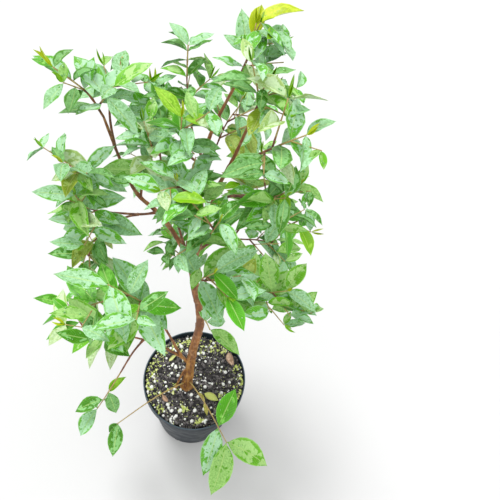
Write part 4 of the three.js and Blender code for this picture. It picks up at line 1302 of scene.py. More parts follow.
def bark_skin(limbs):
    """The trunk and main boughs joined to one surface, with the relief of the bark."""
    tubes = [limb_object(limbs["trunk"], **{**MAIN_TUBE, "collar": 0.0})]
    tubes += [limb_object(limbs[name], **MAIN_TUBE) for name in MAIN_LIMBS[1:]]
    side_root = SimpleNamespace(name="side_root", points=[np.array(point, float) for point in SIDE_ROOT],
                                direction=SKY, radius=lambda t: SIDE_ROOT_RADIUS)
    tubes.append(limb_object(side_root, **ROOT_TUBE))
    take(*tubes)
    bpy.ops.object.join()
    skin = bpy.context.object
    melt = skin.modifiers.new("one skin", "REMESH")
    melt.mode = "VOXEL"
    melt.voxel_size = BARK_VOXEL
    melt.use_smooth_shade = True
    ease = skin.modifiers.new("soft forks", "SMOOTH")
    ease.factor, ease.iterations = FORK_EASE, FORK_EASE_TURNS
    apply_modifiers(skin)
    count = len(skin.data.vertices)
    places = np.zeros(count * 3)
    normals = np.zeros(count * 3)
    skin.data.vertices.foreach_get("co", places)
    skin.data.vertices.foreach_get("normal", normals)
    places, normals = places.reshape(-1, 3), normals.reshape(-1, 3)
    soil = (SOIL_TOP + CLEARANCE) * MM
    foot = np.array(TRUNK_FOOT, float) * MM
    around = np.arctan2(places[:, 1] - foot[1], places[:, 0] - foot[0])
    fade = np.exp(-(places[:, 2] - soil) / LOBE_FADE)
    root_lobes = LOBE_DEPTH * fade * np.cos(LOBES * around + LOBE_TURN)
    relief = np.array([bark_height(place) for place in places]) + root_lobes
    slender = np.clip((places[:, 2] - SLENDER_FROM) / SLENDER_OVER, 0, SLENDER_MOST)
    places += normals * (relief * (1 - slender) * MM)[:, None]
    places[:, 2] = np.maximum(places[:, 2], soil)
    skin.data.vertices.foreach_set("co", places.ravel())
    skin.data.update()
    return skin


def thin_limbs(limbs, names):
    tubes = [limb_object(limbs[name], **THIN_TUBE) for name in names]
    take(*tubes)
    bpy.ops.object.join()
    return bpy.context.object


# Pot: rings raised one after another from a round floor, rolled over at the rim and let down inside
RING_POINTS = 112
LIP_WIDTH = 1.8
LIP_STEPS = 10
CORNER_STEPS = 6
BAND_CORNER = 0.9
BAND_CORNER_STEPS = 3
BAND_INSET = 0.4
# The round below the band and the step out to it, the last rings under the lip, and the band's inside
BELOW_BAND = 3
STEP_OUT = ((0.2, 0), (1.0, 0.6))
BELOW_LIP = (4, 3)
INSIDE_SLOPE = ((0.3, 4), (1.0, 3))
WALL_RINGS = (24, 24.8, 25.6, 60, 96)
INNER_WALL_RINGS = (100, 60, 20)
POT_EDGE_ANGLE = math.radians(35)
DRAIN_POINTS = 28


def raise_ring(radius, height, now):
    """Extrudes the selected round end to a new radius and height, and returns them."""
    bpy.ops.mesh.extrude_region_move(TRANSFORM_OT_translate={"value": (0, 0, (height - now[1]) * MM)})
    bpy.ops.transform.resize(value=(radius / now[0], radius / now[0], 1),
                             center_override=(0, 0, height * MM))
    return radius, height


def arc(centre, radius, start, end, steps):
    """Points on a round edge, as radius and height, from one angle to another in degrees."""
    return [(centre[0] + radius * math.cos(math.radians(mix(start, end, i / steps))),
             centre[1] + radius * math.sin(math.radians(mix(start, end, i / steps))))
            for i in range(steps + 1)]


def model_pot():
    """The pot, pulled up ring by ring from its foot, over the lip and down inside to its floor."""
    deselect_everything()
    first = BASE_RADIUS - POT_CORNER
    bpy.ops.mesh.primitive_circle_add(vertices=RING_POINTS, radius=first * MM, fill_type="NGON")
    pot = bpy.context.object
    edit_points(pot)
    bpy.ops.mesh.select_all(action="SELECT")
    band_foot = POT_HEIGHT - BAND_HEIGHT
    inside_band = RIM_RADIUS - LIP_WIDTH
    at_band = outer_radius(band_foot)
    outer = arc((outer_radius(POT_CORNER) - POT_CORNER, POT_CORNER), POT_CORNER, -80, 0, CORNER_STEPS)
    outer += [(outer_radius(z), z) for z in (*WALL_RINGS, band_foot - BELOW_BAND)]
    outer += [(at_band + out, band_foot + up) for out, up in STEP_OUT]
    outer += arc((RIM_RADIUS - BAND_CORNER, band_foot + BAND_STEP), BAND_CORNER, -60, 0, BAND_CORNER_STEPS)
    outer += [(RIM_RADIUS - BAND_INSET, POT_HEIGHT - down) for down in BELOW_LIP]
    lip = LIP_WIDTH / 2
    outer += arc((RIM_RADIUS - lip, POT_HEIGHT - lip), lip, 0, 180, LIP_STEPS)
    (narrow, down), (narrower, up) = INSIDE_SLOPE
    inner = [(inside_band - narrow, POT_HEIGHT - down), (inside_band - narrower, band_foot + up)]
    inner += [(outer_radius(z) - WALL, z) for z in (band_foot, *INNER_WALL_RINGS)]
    inner += [(outer_radius(POT_FLOOR) - WALL, POT_FLOOR)]
    now = (first, 0)
    for radius, height in outer + inner:
        now = raise_ring(radius, height, now)
    face_outwards(pot)
    for i in range(DRAIN_HOLES):
        turn = 2 * math.pi * (i + 0.5) / DRAIN_HOLES
        cut_drain(pot, DRAIN_CIRCLE * math.cos(turn), DRAIN_CIRCLE * math.sin(turn))
    take(pot)
    bpy.ops.object.shade_smooth_by_angle(angle=POT_EDGE_ANGLE)
    return pot


def cut_drain(pot, x, y):
    """Cuts one drain hole through the floor."""
    deselect_everything()
    bpy.ops.mesh.primitive_cylinder_add(
        vertices=DRAIN_POINTS, radius=DRAIN_RADIUS * MM, depth=4 * POT_FLOOR * MM,
        location=(x * MM, y * MM, POT_FLOOR * MM / 2))
    drill = bpy.context.object
    hole = pot.modifiers.new("drain hole", "BOOLEAN")
    hole.operation = "DIFFERENCE"
    hole.object = drill
    apply_modifiers(pot)
    bpy.data.objects.remove(drill)


# Potting mix: a rough bed, crumbs of peat and bark, white grains, moss and litter
SOIL_RINGS = 26
SOIL_POINTS = 96
CRUMBS = 3000
GRAINS = 225
SPECKS = 520
MOSS_TUFTS = 620
SURFACE_DEPTH = 1
# The bed's hollows and crumble: how close they stand, where in the noise, and height in millimetres
HOLLOWS = (0.035, 3.1, 0.9)
CRUMBLE = (0.2, 8.7, 0.7)
CRUMBLE_LAYERS = (0.7, 2.0, 3)
BED_DROP = 0.4
MOUND_HEIGHT = 2.6
MOUND_SPREAD = 200
# Banks along the wall, in millimetres: from what distance, over what width, and how high
BANK_START = 52
BANK_WIDTH = 22
BANK_CURVE = 1.5
BANK_HEIGHT = 6.0
BANK_MORE_AT_SIDES = 6.0
BANK_LESS_AT_BACK = 3.0
OFF_AXIS = 0.01
# How lumps are strewn: room at the wall and the trunk in millimetres, turn and tilt in radians
SMALL_SIZES_FIRST = 2.2
WALL_ROOM = 1.0
TRUNK_ROOM = 9
LUMP_TURN = 6.28
LUMP_TILT = 0.9
LUMP_DEPTH = 0.9
LUMP_REACH = 0.6
LUMP_WIDTH = (0.6, 1)
LUMP_HEIGHT = (0.8, 1.1)
CRUMB_LIFT = 0.2
BED_RADIUS = 74
CLUMP_DEPTH = 0.9
# Where litter lies: place and room kept clear of grains and moss, in millimetres
LITTER_ROOM = ((29, -20, 11), (46, 44, 11), (-42, 28, 7), (-36, -36, 6))
LITTER_LIFT = 2.4
LITTER_RISE = 0.12
# Moss clumps: bearing in degrees, distance from the middle and half spread, in millimetres
MOSS_CLUMPS = (
    (176, 69, 16), (190, 67, 14), (204, 66, 14), (222, 55, 16), (160, 66, 12), (232, 64, 10),
    (2, 70, 12), (14, 70, 12), (30, 69, 12), (350, 69, 10), (118, 64, 16), (104, 60, 15), (92, 52, 14),
    (132, 66, 14), (76, 60, 12), (146, 68, 14), (318, 66, 9), (290, 60, 9), (60, 66, 10), (215, 34, 10),
    (340, 44, 9), (262, 46, 8),
)


def soil_height(x, y):
    """Height of the bed's surface over its flat level, in millimetres: it banks up at both sides."""
    coarse = noise.noise(Vector((x * HOLLOWS[0], y * HOLLOWS[0], HOLLOWS[1])))
    fine = noise.fractal(Vector((x * CRUMBLE[0], y * CRUMBLE[0], CRUMBLE[1])), *CRUMBLE_LAYERS)
    radius = math.hypot(x, y) + OFF_AXIS
    bank = min(max((radius - BANK_START) / BANK_WIDTH, 0), 1) ** BANK_CURVE
    sides = abs(x) / radius
    back = max(y / radius, 0)
    from_trunk = (x - TRUNK_FOOT[0]) ** 2 + (y - TRUNK_FOOT[1]) ** 2
    mound = MOUND_HEIGHT * math.exp(-from_trunk / MOUND_SPREAD)
    return (HOLLOWS[2] * coarse + CRUMBLE[2] * fine - BED_DROP + mound
            + bank * (BANK_HEIGHT + BANK_MORE_AT_SIDES * sides - BANK_LESS_AT_BACK * back))


def model_soil():
    """The bed of mix, a disc pulled up to its surface, which is then banked and roughened."""
    deselect_everything()
    gap = WALL + 2 * CLEARANCE
    foot = POT_FLOOR + CLEARANCE
    low, high = outer_radius(foot) - gap, outer_radius(SOIL_TOP) - gap
    bpy.ops.mesh.primitive_circle_add(vertices=SOIL_POINTS, radius=low * MM, fill_type="NGON",
                                      location=(0, 0, foot * MM))
    bed = bpy.context.object
    bpy.ops.object.transform_apply(location=True, rotation=False, scale=False)
    edit_points(bed)
    bpy.ops.mesh.select_all(action="SELECT")
    now = raise_ring(high, SOIL_TOP, (low, foot))
    for ring in range(1, SOIL_RINGS):
        now = raise_ring(high * (1 - ring / SOIL_RINGS), SOIL_TOP, now)
    bpy.ops.object.mode_set(mode="OBJECT")
    for point in bed.data.vertices:
        if point.co.z > (SOIL_TOP - SURFACE_DEPTH) * MM:
            point.co.z += soil_height(point.co.x / MM, point.co.y / MM) * MM
    face_outwards(bed)
    take(bed)
    bpy.ops.object.shade_smooth()
    return bed


def lump_blank(segments, rings, roughness, seed, flat):
    """A rough lump, one unit in radius."""
    deselect_everything()
    bpy.ops.mesh.primitive_uv_sphere_add(segments=segments, ring_count=rings, radius=1)
    lump = bpy.context.object
    edit_points(lump)
    bpy.ops.mesh.select_all(action="SELECT")
    bpy.ops.transform.vertex_random(offset=roughness, seed=seed)
    bpy.ops.transform.resize(value=(1, LUMP_DEPTH, flat))
    bpy.ops.object.mode_set(mode="OBJECT")
    return mesh_arrays(lump)


def strewn(name, blanks, count, seed, sizes, spread, lift, smooth=True, widths=LUMP_WIDTH):
    """Copies of lumps strewn over the bed: a place rule gives each one's place in the pot."""
    random = seeded_random(seed)
    corners, faces, total = [], [], 0
    while len(corners) < count:
        x, y = spread(random)
        size = drawn(sizes, random() ** SMALL_SIZES_FIRST)
        if math.hypot(x, y) + LUMP_REACH * size > RIM_RADIUS - LIP_WIDTH - WALL_ROOM:
            continue
        if math.hypot(x - TRUNK_FOOT[0], y - TRUNK_FOOT[1]) < TRUNK_ROOM:
            continue
        if lift > CRUMB_LIFT and any(math.hypot(x - at[0], y - at[1]) < at[2] + size for at in LITTER_ROOM):
            continue
        points, blank_faces, _ = blanks[int(random() * len(blanks))]
        turn = Matrix.Rotation(random() * LUMP_TURN, 3, "Z")
        turn = turn @ Matrix.Rotation((random() - 0.5) * LUMP_TILT, 3, "X")
        stretch = np.array((1, drawn(widths, random()), drawn(LUMP_HEIGHT, random())))
        placed = (points * stretch * size) @ np.array(turn).T
        placed += (x, y, SOIL_TOP + soil_height(x, y) + size * lift)
        corners.append(placed * MM)
        faces += [tuple(index + total for index in face) for face in blank_faces]
        total += len(points)
    return joined_mesh(name, np.concatenate(corners), faces, smooth=smooth)


def anywhere(random):
    """A place anywhere on the bed."""
    radius = BED_RADIUS * math.sqrt(random())
    turn = 2 * math.pi * random()
    return radius * math.cos(turn), radius * math.sin(turn)


def in_clumps(random):
    """A place on the bed in clumps, most of them near the wall at the left, the right and the back."""
    clump = int(random() * len(MOSS_CLUMPS))
    turn, radius, spread = MOSS_CLUMPS[clump]
    turn = math.radians(turn) + (random() + random() - 1) * spread / radius
    radius += (random() + random() - 1) * spread * CLUMP_DEPTH
    return radius * math.cos(turn), radius * math.sin(turn)


def leaf_on_soil(x, y, heading, length, form, droop, seed, tilt=0.0):
    """A fallen leaf that lies on the bed."""
    turn = math.radians(heading)
    direction = unit(np.array((math.cos(turn), math.sin(turn), LITTER_RISE)))
    face = square_to(direction, SKY + np.array((-math.sin(turn), math.cos(turn), 0)) * tilt)
    root = np.array((x, y, SOIL_TOP + LITTER_LIFT + soil_height(x, y)))
    return SimpleNamespace(root=root, direction=direction, face=face, length=length, droop=droop,
                           form=form, width=1.0, seed=seed)


# Materials
DROPS_PER_CM = 2.3
GLINT_SHIFT = (0.035, 0.03, 0.0)
GLINT = (0.95, 1.0, 0.95, 1)
VEIN_PAIRS = 13.0
VEIN_SLANT = 0.26
# How strongly each layer shows over a leaf's skin, and how far each stands out of it or sinks in. The darker
# leaf colour is painted shade and the brighter sheen a painted highlight
SHADED_LEAF = 0.7
SHEEN_HIGHLIGHT = 1.22
MARGIN_SHOWS = 0.35
MIDRIB_SHOWS = 0.6
EDGE_HIGHLIGHT_SHOWS = 0.4
DROPS_SHOW = 0.6
SHADED_RIMS_SHOW = 0.7
GLINTS_SHOW = 0.85
DRIER_MARGIN = 0.2
MIDRIB_DEPTH = -0.8
VEIN_DEPTH = -0.3
DROP_HEIGHT = 0.9
VEIN = (180, 214, 126)
# Each kind of leaf: the colours of leaf, the painted sheen of its wet face (a painted reflection of the
# bright surroundings), veins and margin, how much the sheen covers, and the underside, where it isn't the
# same as above
LEAF_LOOKS = {
    "mint": ((90, 170, 14), (168, 210, 170), VEIN, (122, 188, 52), 0.61, "leaf"),
    "fresh": ((98, 174, 6), (162, 204, 122), VEIN, (124, 194, 34), 0.58, "leaf"),
    "glossy": ((80, 164, 16), (126, 196, 78), VEIN, (100, 184, 40), 0.42, "leaf"),
    # The deep kind is darker green: partly the leaves' own tone, partly painted shade for leaves that stand
    # in shadow
    "deep": ((66, 134, 8), (134, 190, 116), VEIN, (104, 164, 34), 0.54, "leaf"),
    "olive": ((140, 168, 36), (178, 200, 108), (196, 206, 112), (174, 176, 60), 0.48, "leaf"),
    "pale": ((158, 194, 104), (198, 220, 178), (216, 230, 168), (192, 212, 120), 0.56, "pale_leaf"),
    "young": ((124, 188, 10), (156, 206, 62), (190, 220, 96), (160, 204, 30), 0.46, "young_leaf"),
    "bright": ((190, 212, 24), (206, 224, 58), (214, 228, 70), (194, 206, 18), 0.38, "young_leaf"),
    "fallen": ((196, 206, 110), (222, 226, 160), (206, 196, 120), (190, 176, 90), 0.45, None),
    "dry": ((190, 154, 126), (216, 188, 164), (150, 116, 92), (150, 116, 90), 0.45, None),
    "dried": ((176, 172, 78), (206, 202, 120), (214, 208, 140), (196, 176, 92), 0.45, None),
}
UNDERSIDES = {
    "leaf": ((158, 196, 96), (194, 218, 142)),
    "pale_leaf": ((190, 216, 140), (216, 232, 176)),
    "young_leaf": ((188, 208, 76), (216, 226, 120)),
}
# What lies in the pot: its dark and light colour and how fine its grit is
SOIL_LOOKS = {
    "potting_mix": ((32, 30, 31), (72, 67, 66), 260.0),
    "mix_crumbs": ((34, 33, 36), (136, 130, 130), 160.0),
    "white_grains": ((240, 242, 236), (255, 255, 254), 300.0),
    "moss": ((180, 196, 92), (238, 242, 178), 420.0),
    "pale_specks": ((202, 210, 130), (244, 246, 214), 200.0),
}
# Heights in metres that a painted highlight lies between on the lip of the pot, and that the colour of the
# foot fades over
RIM_HIGHLIGHT = (0.1438, 0.1448)
FOOT_FADE = 0.11


def add(tree, kind, inputs=None, **settings):
    """A shader node with its settings, values and links."""
    made = tree.nodes.new(kind)
    for key, value in settings.items():
        setattr(made, key, value)
    for key, value in (inputs or {}).items():
        if isinstance(value, bpy.types.NodeSocket):
            tree.links.new(value, made.inputs[key])
        else:
            made.inputs[key].default_value = value
    return made


def blend_colours(tree, share, first, second):
    made = add(tree, "ShaderNodeMix", {0: share, 6: first, 7: second}, data_type="RGBA")
    return made.outputs[2]


def calculate(tree, operation, first, second=0.5):
    return add(tree, "ShaderNodeMath", {0: first, 1: second}, operation=operation).outputs[0]


def multiply(tree, first, second):
    return calculate(tree, "MULTIPLY", first, second)


def lay_over(tree, skin, layers):
    """Lays colours over a skin one after another, each by its mask and how strongly it shows."""
    for mask, strength, over in layers:
        skin = blend_colours(tree, multiply(tree, mask, strength), skin, over)
    return skin


def noise_texture(tree, place, scale, detail, **more):
    """Clouds from 0 to 1."""
    inputs = {"Vector": place, "Scale": scale, "Detail": detail, **more}
    return add(tree, "ShaderNodeTexNoise", inputs).outputs["Fac"]


def cell_texture(tree, place, scale, **settings):
    return add(tree, "ShaderNodeTexVoronoi", {"Vector": place, "Scale": scale}, **settings).outputs


def parts_of(tree, vector):
    return add(tree, "ShaderNodeSeparateXYZ", {0: vector}).outputs


def steps_between(tree, value, low, high, to_low=0.0, to_high=1.0):
    """A soft step of a value from one level to another."""
    made = add(tree, "ShaderNodeMapRange", {0: value, 1: low, 2: high, 3: to_low, 4: to_high},
               interpolation_type="SMOOTHSTEP")
    return made.outputs[0]


def colour(red, green, blue):
    """A colour given as it shows on the screen, from 0 to 255."""
    shown = (red, green, blue)
    return (*(((part / 255 + 0.055) / 1.055) ** 2.4 if part > 10 else part / 3295 for part in shown), 1)


def brighter(tone, factor):
    """A colour made brighter, or darker where the factor is under 1."""
    return (*(min(1, part * factor) for part in tone[:3]), 1)


def new_group(name, inputs, outputs):
    tree = bpy.data.node_groups.new(name, "ShaderNodeTree")
    for socket, kind in inputs:
        tree.interface.new_socket(socket, in_out="INPUT", socket_type=kind)
    for socket, kind in outputs:
        tree.interface.new_socket(socket, in_out="OUTPUT", socket_type=kind)
    return tree, tree.nodes.new("NodeGroupInput").outputs, tree.nodes.new("NodeGroupOutput").inputs


def use_group(tree, group, inputs):
    return add(tree, "ShaderNodeGroup", inputs, node_tree=GROUPS[group]).outputs


def leaf_vein_group():
    """Midrib, side veins, margin and edge of a leaf. Blade runs from 0 to 1 along it, -1 to 1 across."""
    tree, given, out = new_group("leaf_veins", [("Blade", "NodeSocketVector")],
                                 [("Midrib", "NodeSocketFloat"), ("Veins", "NodeSocketFloat"),
                                  ("Margin", "NodeSocketFloat"), ("Edge", "NodeSocketFloat")])
    parts = parts_of(tree, given["Blade"])
    across = calculate(tree, "ABSOLUTE", parts["Y"])
    along = calculate(tree, "SUBTRACT", parts["X"], multiply(tree, across, VEIN_SLANT))
    saw = calculate(tree, "FRACT", multiply(tree, along, VEIN_PAIRS))
    ridge = calculate(tree, "ABSOLUTE", calculate(tree, "SUBTRACT", saw, 0.5))
    tree.links.new(steps_between(tree, across, 0.03, 0.09, 1.0, 0.0), out["Midrib"])
    tree.links.new(steps_between(tree, ridge, 0.36, 0.5), out["Veins"])
    tree.links.new(steps_between(tree, across, 0.5, 0.98), out["Margin"])
    tree.links.new(steps_between(tree, across, 0.87, 0.95), out["Edge"])
    return tree


def wet_sheen_group():
    """Where the painted sheen of water, a painted reflection of the bright surroundings, lies on a leaf, with
    the drops in it, their painted dark rims and painted glints, fine streaks of brighter painted sheen, and
    each leaf's own shade, darker on some leaves as painted shade.
    """
    tree, given, out = new_group(
        "wet_film",
        [("Place", "NodeSocketVector"), ("Cover", "NodeSocketFloat"), ("Dry", "NodeSocketFloat")],
        [("Film", "NodeSocketFloat"), ("Drops", "NodeSocketFloat"), ("Rings", "NodeSocketFloat"),
         ("Glints", "NodeSocketFloat"), ("Streaks", "NodeSocketFloat"), ("Shade", "NodeSocketFloat")])
    place = given["Place"]
    own = noise_texture(tree, place, 0.11, 0.0)
    # Each leaf's own shade: some leaves, at random, are darkened as painted shade
    tree.links.new(steps_between(tree, own, 0.3, 0.7), out["Shade"])
    # The painted sheen: a painted reflection of the bright surroundings on the wet leaf, lying in patches
    patches = noise_texture(tree, place, 1.0, 2.6, Roughness=0.62, Distortion=0.5)
    dryness = multiply(tree, calculate(tree, "SUBTRACT", own, 0.5), 0.55)
    level = calculate(tree, "ADD", calculate(tree, "ADD", patches, dryness), given["Dry"])
    level = calculate(tree, "SUBTRACT", level, given["Cover"])
    tree.links.new(steps_between(tree, level, -0.035, 0.035, 1.0, 0.0), out["Film"])
    drops = cell_texture(tree, place, DROPS_PER_CM)
    aside = add(tree, "ShaderNodeVectorMath", {0: place, 1: GLINT_SHIFT}, operation="ADD").outputs[0]
    beside = cell_texture(tree, aside, DROPS_PER_CM)["Distance"]
    areas = noise_texture(tree, place, 0.8, 1.0)
    draw = parts_of(tree, drops["Color"])
    here = multiply(tree, steps_between(tree, areas, 0.40, 0.52), steps_between(tree, draw["X"], 0.34, 0.4))
    size = steps_between(tree, draw["Y"], 0.0, 1.0, 0.14, 0.33)
    inside = calculate(tree, "SUBTRACT", size, drops["Distance"])
    tree.links.new(multiply(tree, steps_between(tree, inside, -0.02, 0.03), here), out["Drops"])
    # Painted shade: a dark rim round each drop
    rings = steps_between(tree, calculate(tree, "ABSOLUTE", inside), 0.015, 0.06, 1.0, 0.0)
    tree.links.new(multiply(tree, rings, here), out["Rings"])
    glints = steps_between(tree, beside, 0.05, 0.1, 1.0, 0.0)
    tree.links.new(multiply(tree, glints, here), out["Glints"])
    # Fine streaks where the painted sheen turns to a brighter painted highlight
    fine = noise_texture(tree, place, 4.5, 3.0, Roughness=0.6)
    tree.links.new(steps_between(tree, fine, 0.4, 0.62), out["Streaks"])
    return tree


def bark_weather_group():
    """Long fibres, dark cracks and peeled light flakes of bark."""
    tree, given, out = new_group(
        "bark_weather", [("Place", "NodeSocketVector"), ("Scale", "NodeSocketFloat")],
        [("Fibre", "NodeSocketFloat"), ("Cracks", "NodeSocketFloat"), ("Flakes", "NodeSocketFloat")])
    stretched = add(tree, "ShaderNodeMapping", {"Vector": given["Place"], "Scale": (1, 1, 0.07)}).outputs[0]
    tree.links.new(noise_texture(tree, stretched, given["Scale"], 5.0, Roughness=0.65), out["Fibre"])
    cells = cell_texture(tree, stretched, given["Scale"], feature="DISTANCE_TO_EDGE")["Distance"]
    tree.links.new(steps_between(tree, cells, 0.02, 0.14, 1.0, 0.0), out["Cracks"])
    patches = noise_texture(tree, given["Place"], 130.0, 2.0)
    tree.links.new(steps_between(tree, patches, 0.5, 0.66), out["Flakes"])
    return tree


def speckle_group():
    """Grit and cloudy shade for the mix, the pot, the beads, the floor and the undersides of leaves."""
    tree, given, out = new_group(
        "grit", [("Place", "NodeSocketVector"), ("Scale", "NodeSocketFloat")],
        [("Cloud", "NodeSocketFloat"), ("Specks", "NodeSocketFloat")])
    tree.links.new(noise_texture(tree, given["Place"], given["Scale"], 5.0, Roughness=0.6), out["Cloud"])
    cells = cell_texture(tree, given["Place"], given["Scale"])["Distance"]
    tree.links.new(steps_between(tree, cells, 0.1, 0.34, 1.0, 0.0), out["Specks"])
    return tree


GROUPS = {}


def new_material(name):
    """A material and its Principled shader."""
    material = bpy.data.materials.new(name)
    material.use_nodes = True
    tree = material.node_tree
    return material, tree, tree.nodes["Principled BSDF"]


def object_place(tree):
    return add(tree, "ShaderNodeTexCoord").outputs["Object"]


def grit_at(tree, place, scale):
    return use_group(tree, "grit", {"Place": place, "Scale": scale})


def leaf_places(tree):
    """The coordinates of a leaf: along and across its blade, and in the pattern of water."""
    return [add(tree, "ShaderNodeUVMap", uv_map=name).outputs[0] for name in ("blade", "wet")]


def set_bump(tree, shader, height, distance, strength):
    bump = add(tree, "ShaderNodeBump", {"Height": height, "Distance": distance, "Strength": strength})
    tree.links.new(bump.outputs["Normal"], shader.inputs["Normal"])


def upper_leaf_material(name, leaf, film, vein, margin, cover):
    """The wet upper face of a leaf: its own green shows where the painted sheen of water, a painted
    reflection, leaves it bare. Some leaves are darkened as painted shade, painted highlights lie along its
    veins and edge, and the drops have painted dark rims and painted glints.
    """
    material, tree, shader = new_material(name)
    blade, wet = leaf_places(tree)
    veins = use_group(tree, "veins", {"Blade": blade})
    dry = multiply(tree, veins["Margin"], DRIER_MARGIN)
    water = use_group(tree, "water", {"Place": wet, "Cover": cover, "Dry": dry})
    shaded_leaf = brighter(leaf, SHADED_LEAF)
    sheen_highlight = brighter(film, SHEEN_HIGHLIGHT)
    # Painted shade: leaves whose own shade is low take the darker colour, as if they stood in shadow
    skin = blend_colours(tree, water["Shade"], shaded_leaf, leaf)
    skin = lay_over(tree, skin, [(veins["Margin"], MARGIN_SHOWS, margin)])
    # On those leaves the sheen is darkened too, painted shade
    sheen = blend_colours(tree, steps_between(tree, water["Shade"], 0.0, 0.8, 0.5, 0.0), film, shaded_leaf)
    # Streaks of brighter painted highlight in the sheen
    sheen = blend_colours(tree, water["Streaks"], sheen, blend_colours(tree, 0.5, sheen, sheen_highlight))
    # Where the wet sheen lies, the leaf takes the sheen colour, a painted reflection
    skin = blend_colours(tree, water["Film"], skin, sheen)
    # Veins and the edge are laid in the painted highlight colour
    veins_show = steps_between(tree, water["Streaks"], 0.0, 1.0, 0.1, 0.5)
    skin = lay_over(tree, skin, [
        (veins["Veins"], veins_show, sheen_highlight),
        (veins["Midrib"], MIDRIB_SHOWS, vein),
        (veins["Edge"], EDGE_HIGHLIGHT_SHOWS, sheen_highlight),
        (water["Drops"], DROPS_SHOW, leaf),
        (water["Rings"], SHADED_RIMS_SHOW, shaded_leaf),
        (water["Glints"], GLINTS_SHOW, GLINT)])
    tree.links.new(skin, shader.inputs["Base Color"])
    tree.links.new(steps_between(tree, water["Film"], 0.0, 1.0, 0.34, 0.46), shader.inputs["Roughness"])
    shader.inputs["Specular IOR Level"].default_value = 0.3
    relief = calculate(tree, "ADD", multiply(tree, veins["Midrib"], MIDRIB_DEPTH),
                       multiply(tree, veins["Veins"], VEIN_DEPTH))
    relief = calculate(tree, "ADD", relief, multiply(tree, water["Drops"], DROP_HEIGHT))
    set_bump(tree, shader, relief, 0.0005, 0.6)
    return material


def under_leaf_material(name, leaf, vein):
    """The matt, paler underside with raised veins."""
    material, tree, shader = new_material(name)
    blade, wet = leaf_places(tree)
    veins = use_group(tree, "veins", {"Blade": blade})
    grit = grit_at(tree, wet, 1.4)
    skin = blend_colours(tree, steps_between(tree, grit["Cloud"], 0.35, 0.7, 0.0, 0.5), leaf, vein)
    skin = lay_over(tree, skin, [(veins["Veins"], 0.2, vein), (veins["Midrib"], 0.8, vein)])
    tree.links.new(skin, shader.inputs["Base Color"])
    shader.inputs["Roughness"].default_value = 0.62
    set_bump(tree, shader, calculate(tree, "ADD", veins["Midrib"], veins["Veins"]), 0.0003, 0.4)
    return material


def bark_material(name, main, dark, light, scale=170.0, foot=None):
    """Bark in three shades. Foot is another colour at the foot and the height where it fades out."""
    material, tree, shader = new_material(name)
    place = object_place(tree)
    bark = use_group(tree, "bark", {"Place": place, "Scale": scale})
    skin = main
    if foot is not None:
        low, top = foot
        height = parts_of(tree, place)["Z"]
        skin = blend_colours(tree, steps_between(tree, height, top, top + FOOT_FADE), low, main)
    skin = blend_colours(tree, steps_between(tree, bark["Fibre"], 0.36, 0.7), dark, skin)
    skin = lay_over(tree, skin, [(bark["Flakes"], 0.34, light), (bark["Cracks"], 0.3, dark)])
    tree.links.new(skin, shader.inputs["Base Color"])
    tree.links.new(steps_between(tree, bark["Fibre"], 0.3, 0.7, 0.5, 0.72), shader.inputs["Roughness"])
    relief = calculate(tree, "SUBTRACT", bark["Fibre"], multiply(tree, bark["Cracks"], 0.4))
    set_bump(tree, shader, relief, 0.0006, 0.7)
    return material


def plastic_material():
    """Blue-grey nursery plastic with a dusty, scuffed skin, faint turning lines and a painted highlight along
    the top of the lip.
    """
    material, tree, shader = new_material("pot_plastic")
    place = object_place(tree)
    grit = grit_at(tree, place, 60.0)
    fine = grit_at(tree, place, 700.0)
    clouds = steps_between(tree, grit["Cloud"], 0.3, 0.72)
    skin = blend_colours(tree, clouds, colour(17, 28, 37), colour(23, 35, 45))
    skin = lay_over(tree, skin, [(fine["Specks"], 0.12, colour(70, 84, 92))])
    # Painted highlight: a lighter line along the top of the lip
    lip_highlight = steps_between(tree, parts_of(tree, place)["Z"], *RIM_HIGHLIGHT, 0.0, 0.6)
    skin = blend_colours(tree, lip_highlight, skin, colour(92, 108, 118))
    tree.links.new(skin, shader.inputs["Base Color"])
    tree.links.new(steps_between(tree, grit["Cloud"], 0.3, 0.7, 0.38, 0.56), shader.inputs["Roughness"])
    shader.inputs["Specular IOR Level"].default_value = 0.3
    stretched = add(tree, "ShaderNodeMapping", {"Vector": place, "Scale": (3, 3, 240)}).outputs[0]
    lines = noise_texture(tree, stretched, 1.0, 2.0)
    set_bump(tree, shader, calculate(tree, "ADD", lines, fine["Cloud"]), 0.0001, 0.2)
    return material


def soil_material(name, dark, light, scale):
    """The matt, gritty look of what lies in the pot."""
    material, tree, shader = new_material(name)
    grit = grit_at(tree, object_place(tree), scale)
    skin = blend_colours(tree, steps_between(tree, grit["Cloud"], 0.4, 0.7), dark, light)
    tree.links.new(skin, shader.inputs["Base Color"])
    shader.inputs["Roughness"].default_value = 0.85
    set_bump(tree, shader, grit["Cloud"], 0.0012, 0.8)
    return material


def bead_material():
    """Clear water on green, with a hard bright gloss."""
    material, tree, shader = new_material("water_bead")
    grit = grit_at(tree, object_place(tree), 90.0)
    skin = blend_colours(tree, grit["Cloud"], colour(74, 142, 52), colour(132, 186, 118))
    tree.links.new(skin, shader.inputs["Base Color"])
    shader.inputs["Roughness"].default_value = 0.06
    shader.inputs["Coat Weight"].default_value = 0.6
    shader.inputs["Coat Roughness"].default_value = 0.03
    return material


def leaf_materials():
    """Upper and lower materials of each kind of leaf."""
    under = {name: under_leaf_material(name + "_underside", *(colour(*tone) for tone in tones))
             for name, tones in UNDERSIDES.items()}
    materials = {}
    for kind, (*tones, cover, side) in LEAF_LOOKS.items():
        upper = upper_leaf_material(kind + "_leaf", *(colour(*tone) for tone in tones), cover)
        materials[kind] = [upper, under[side] if side else upper]
    return materials


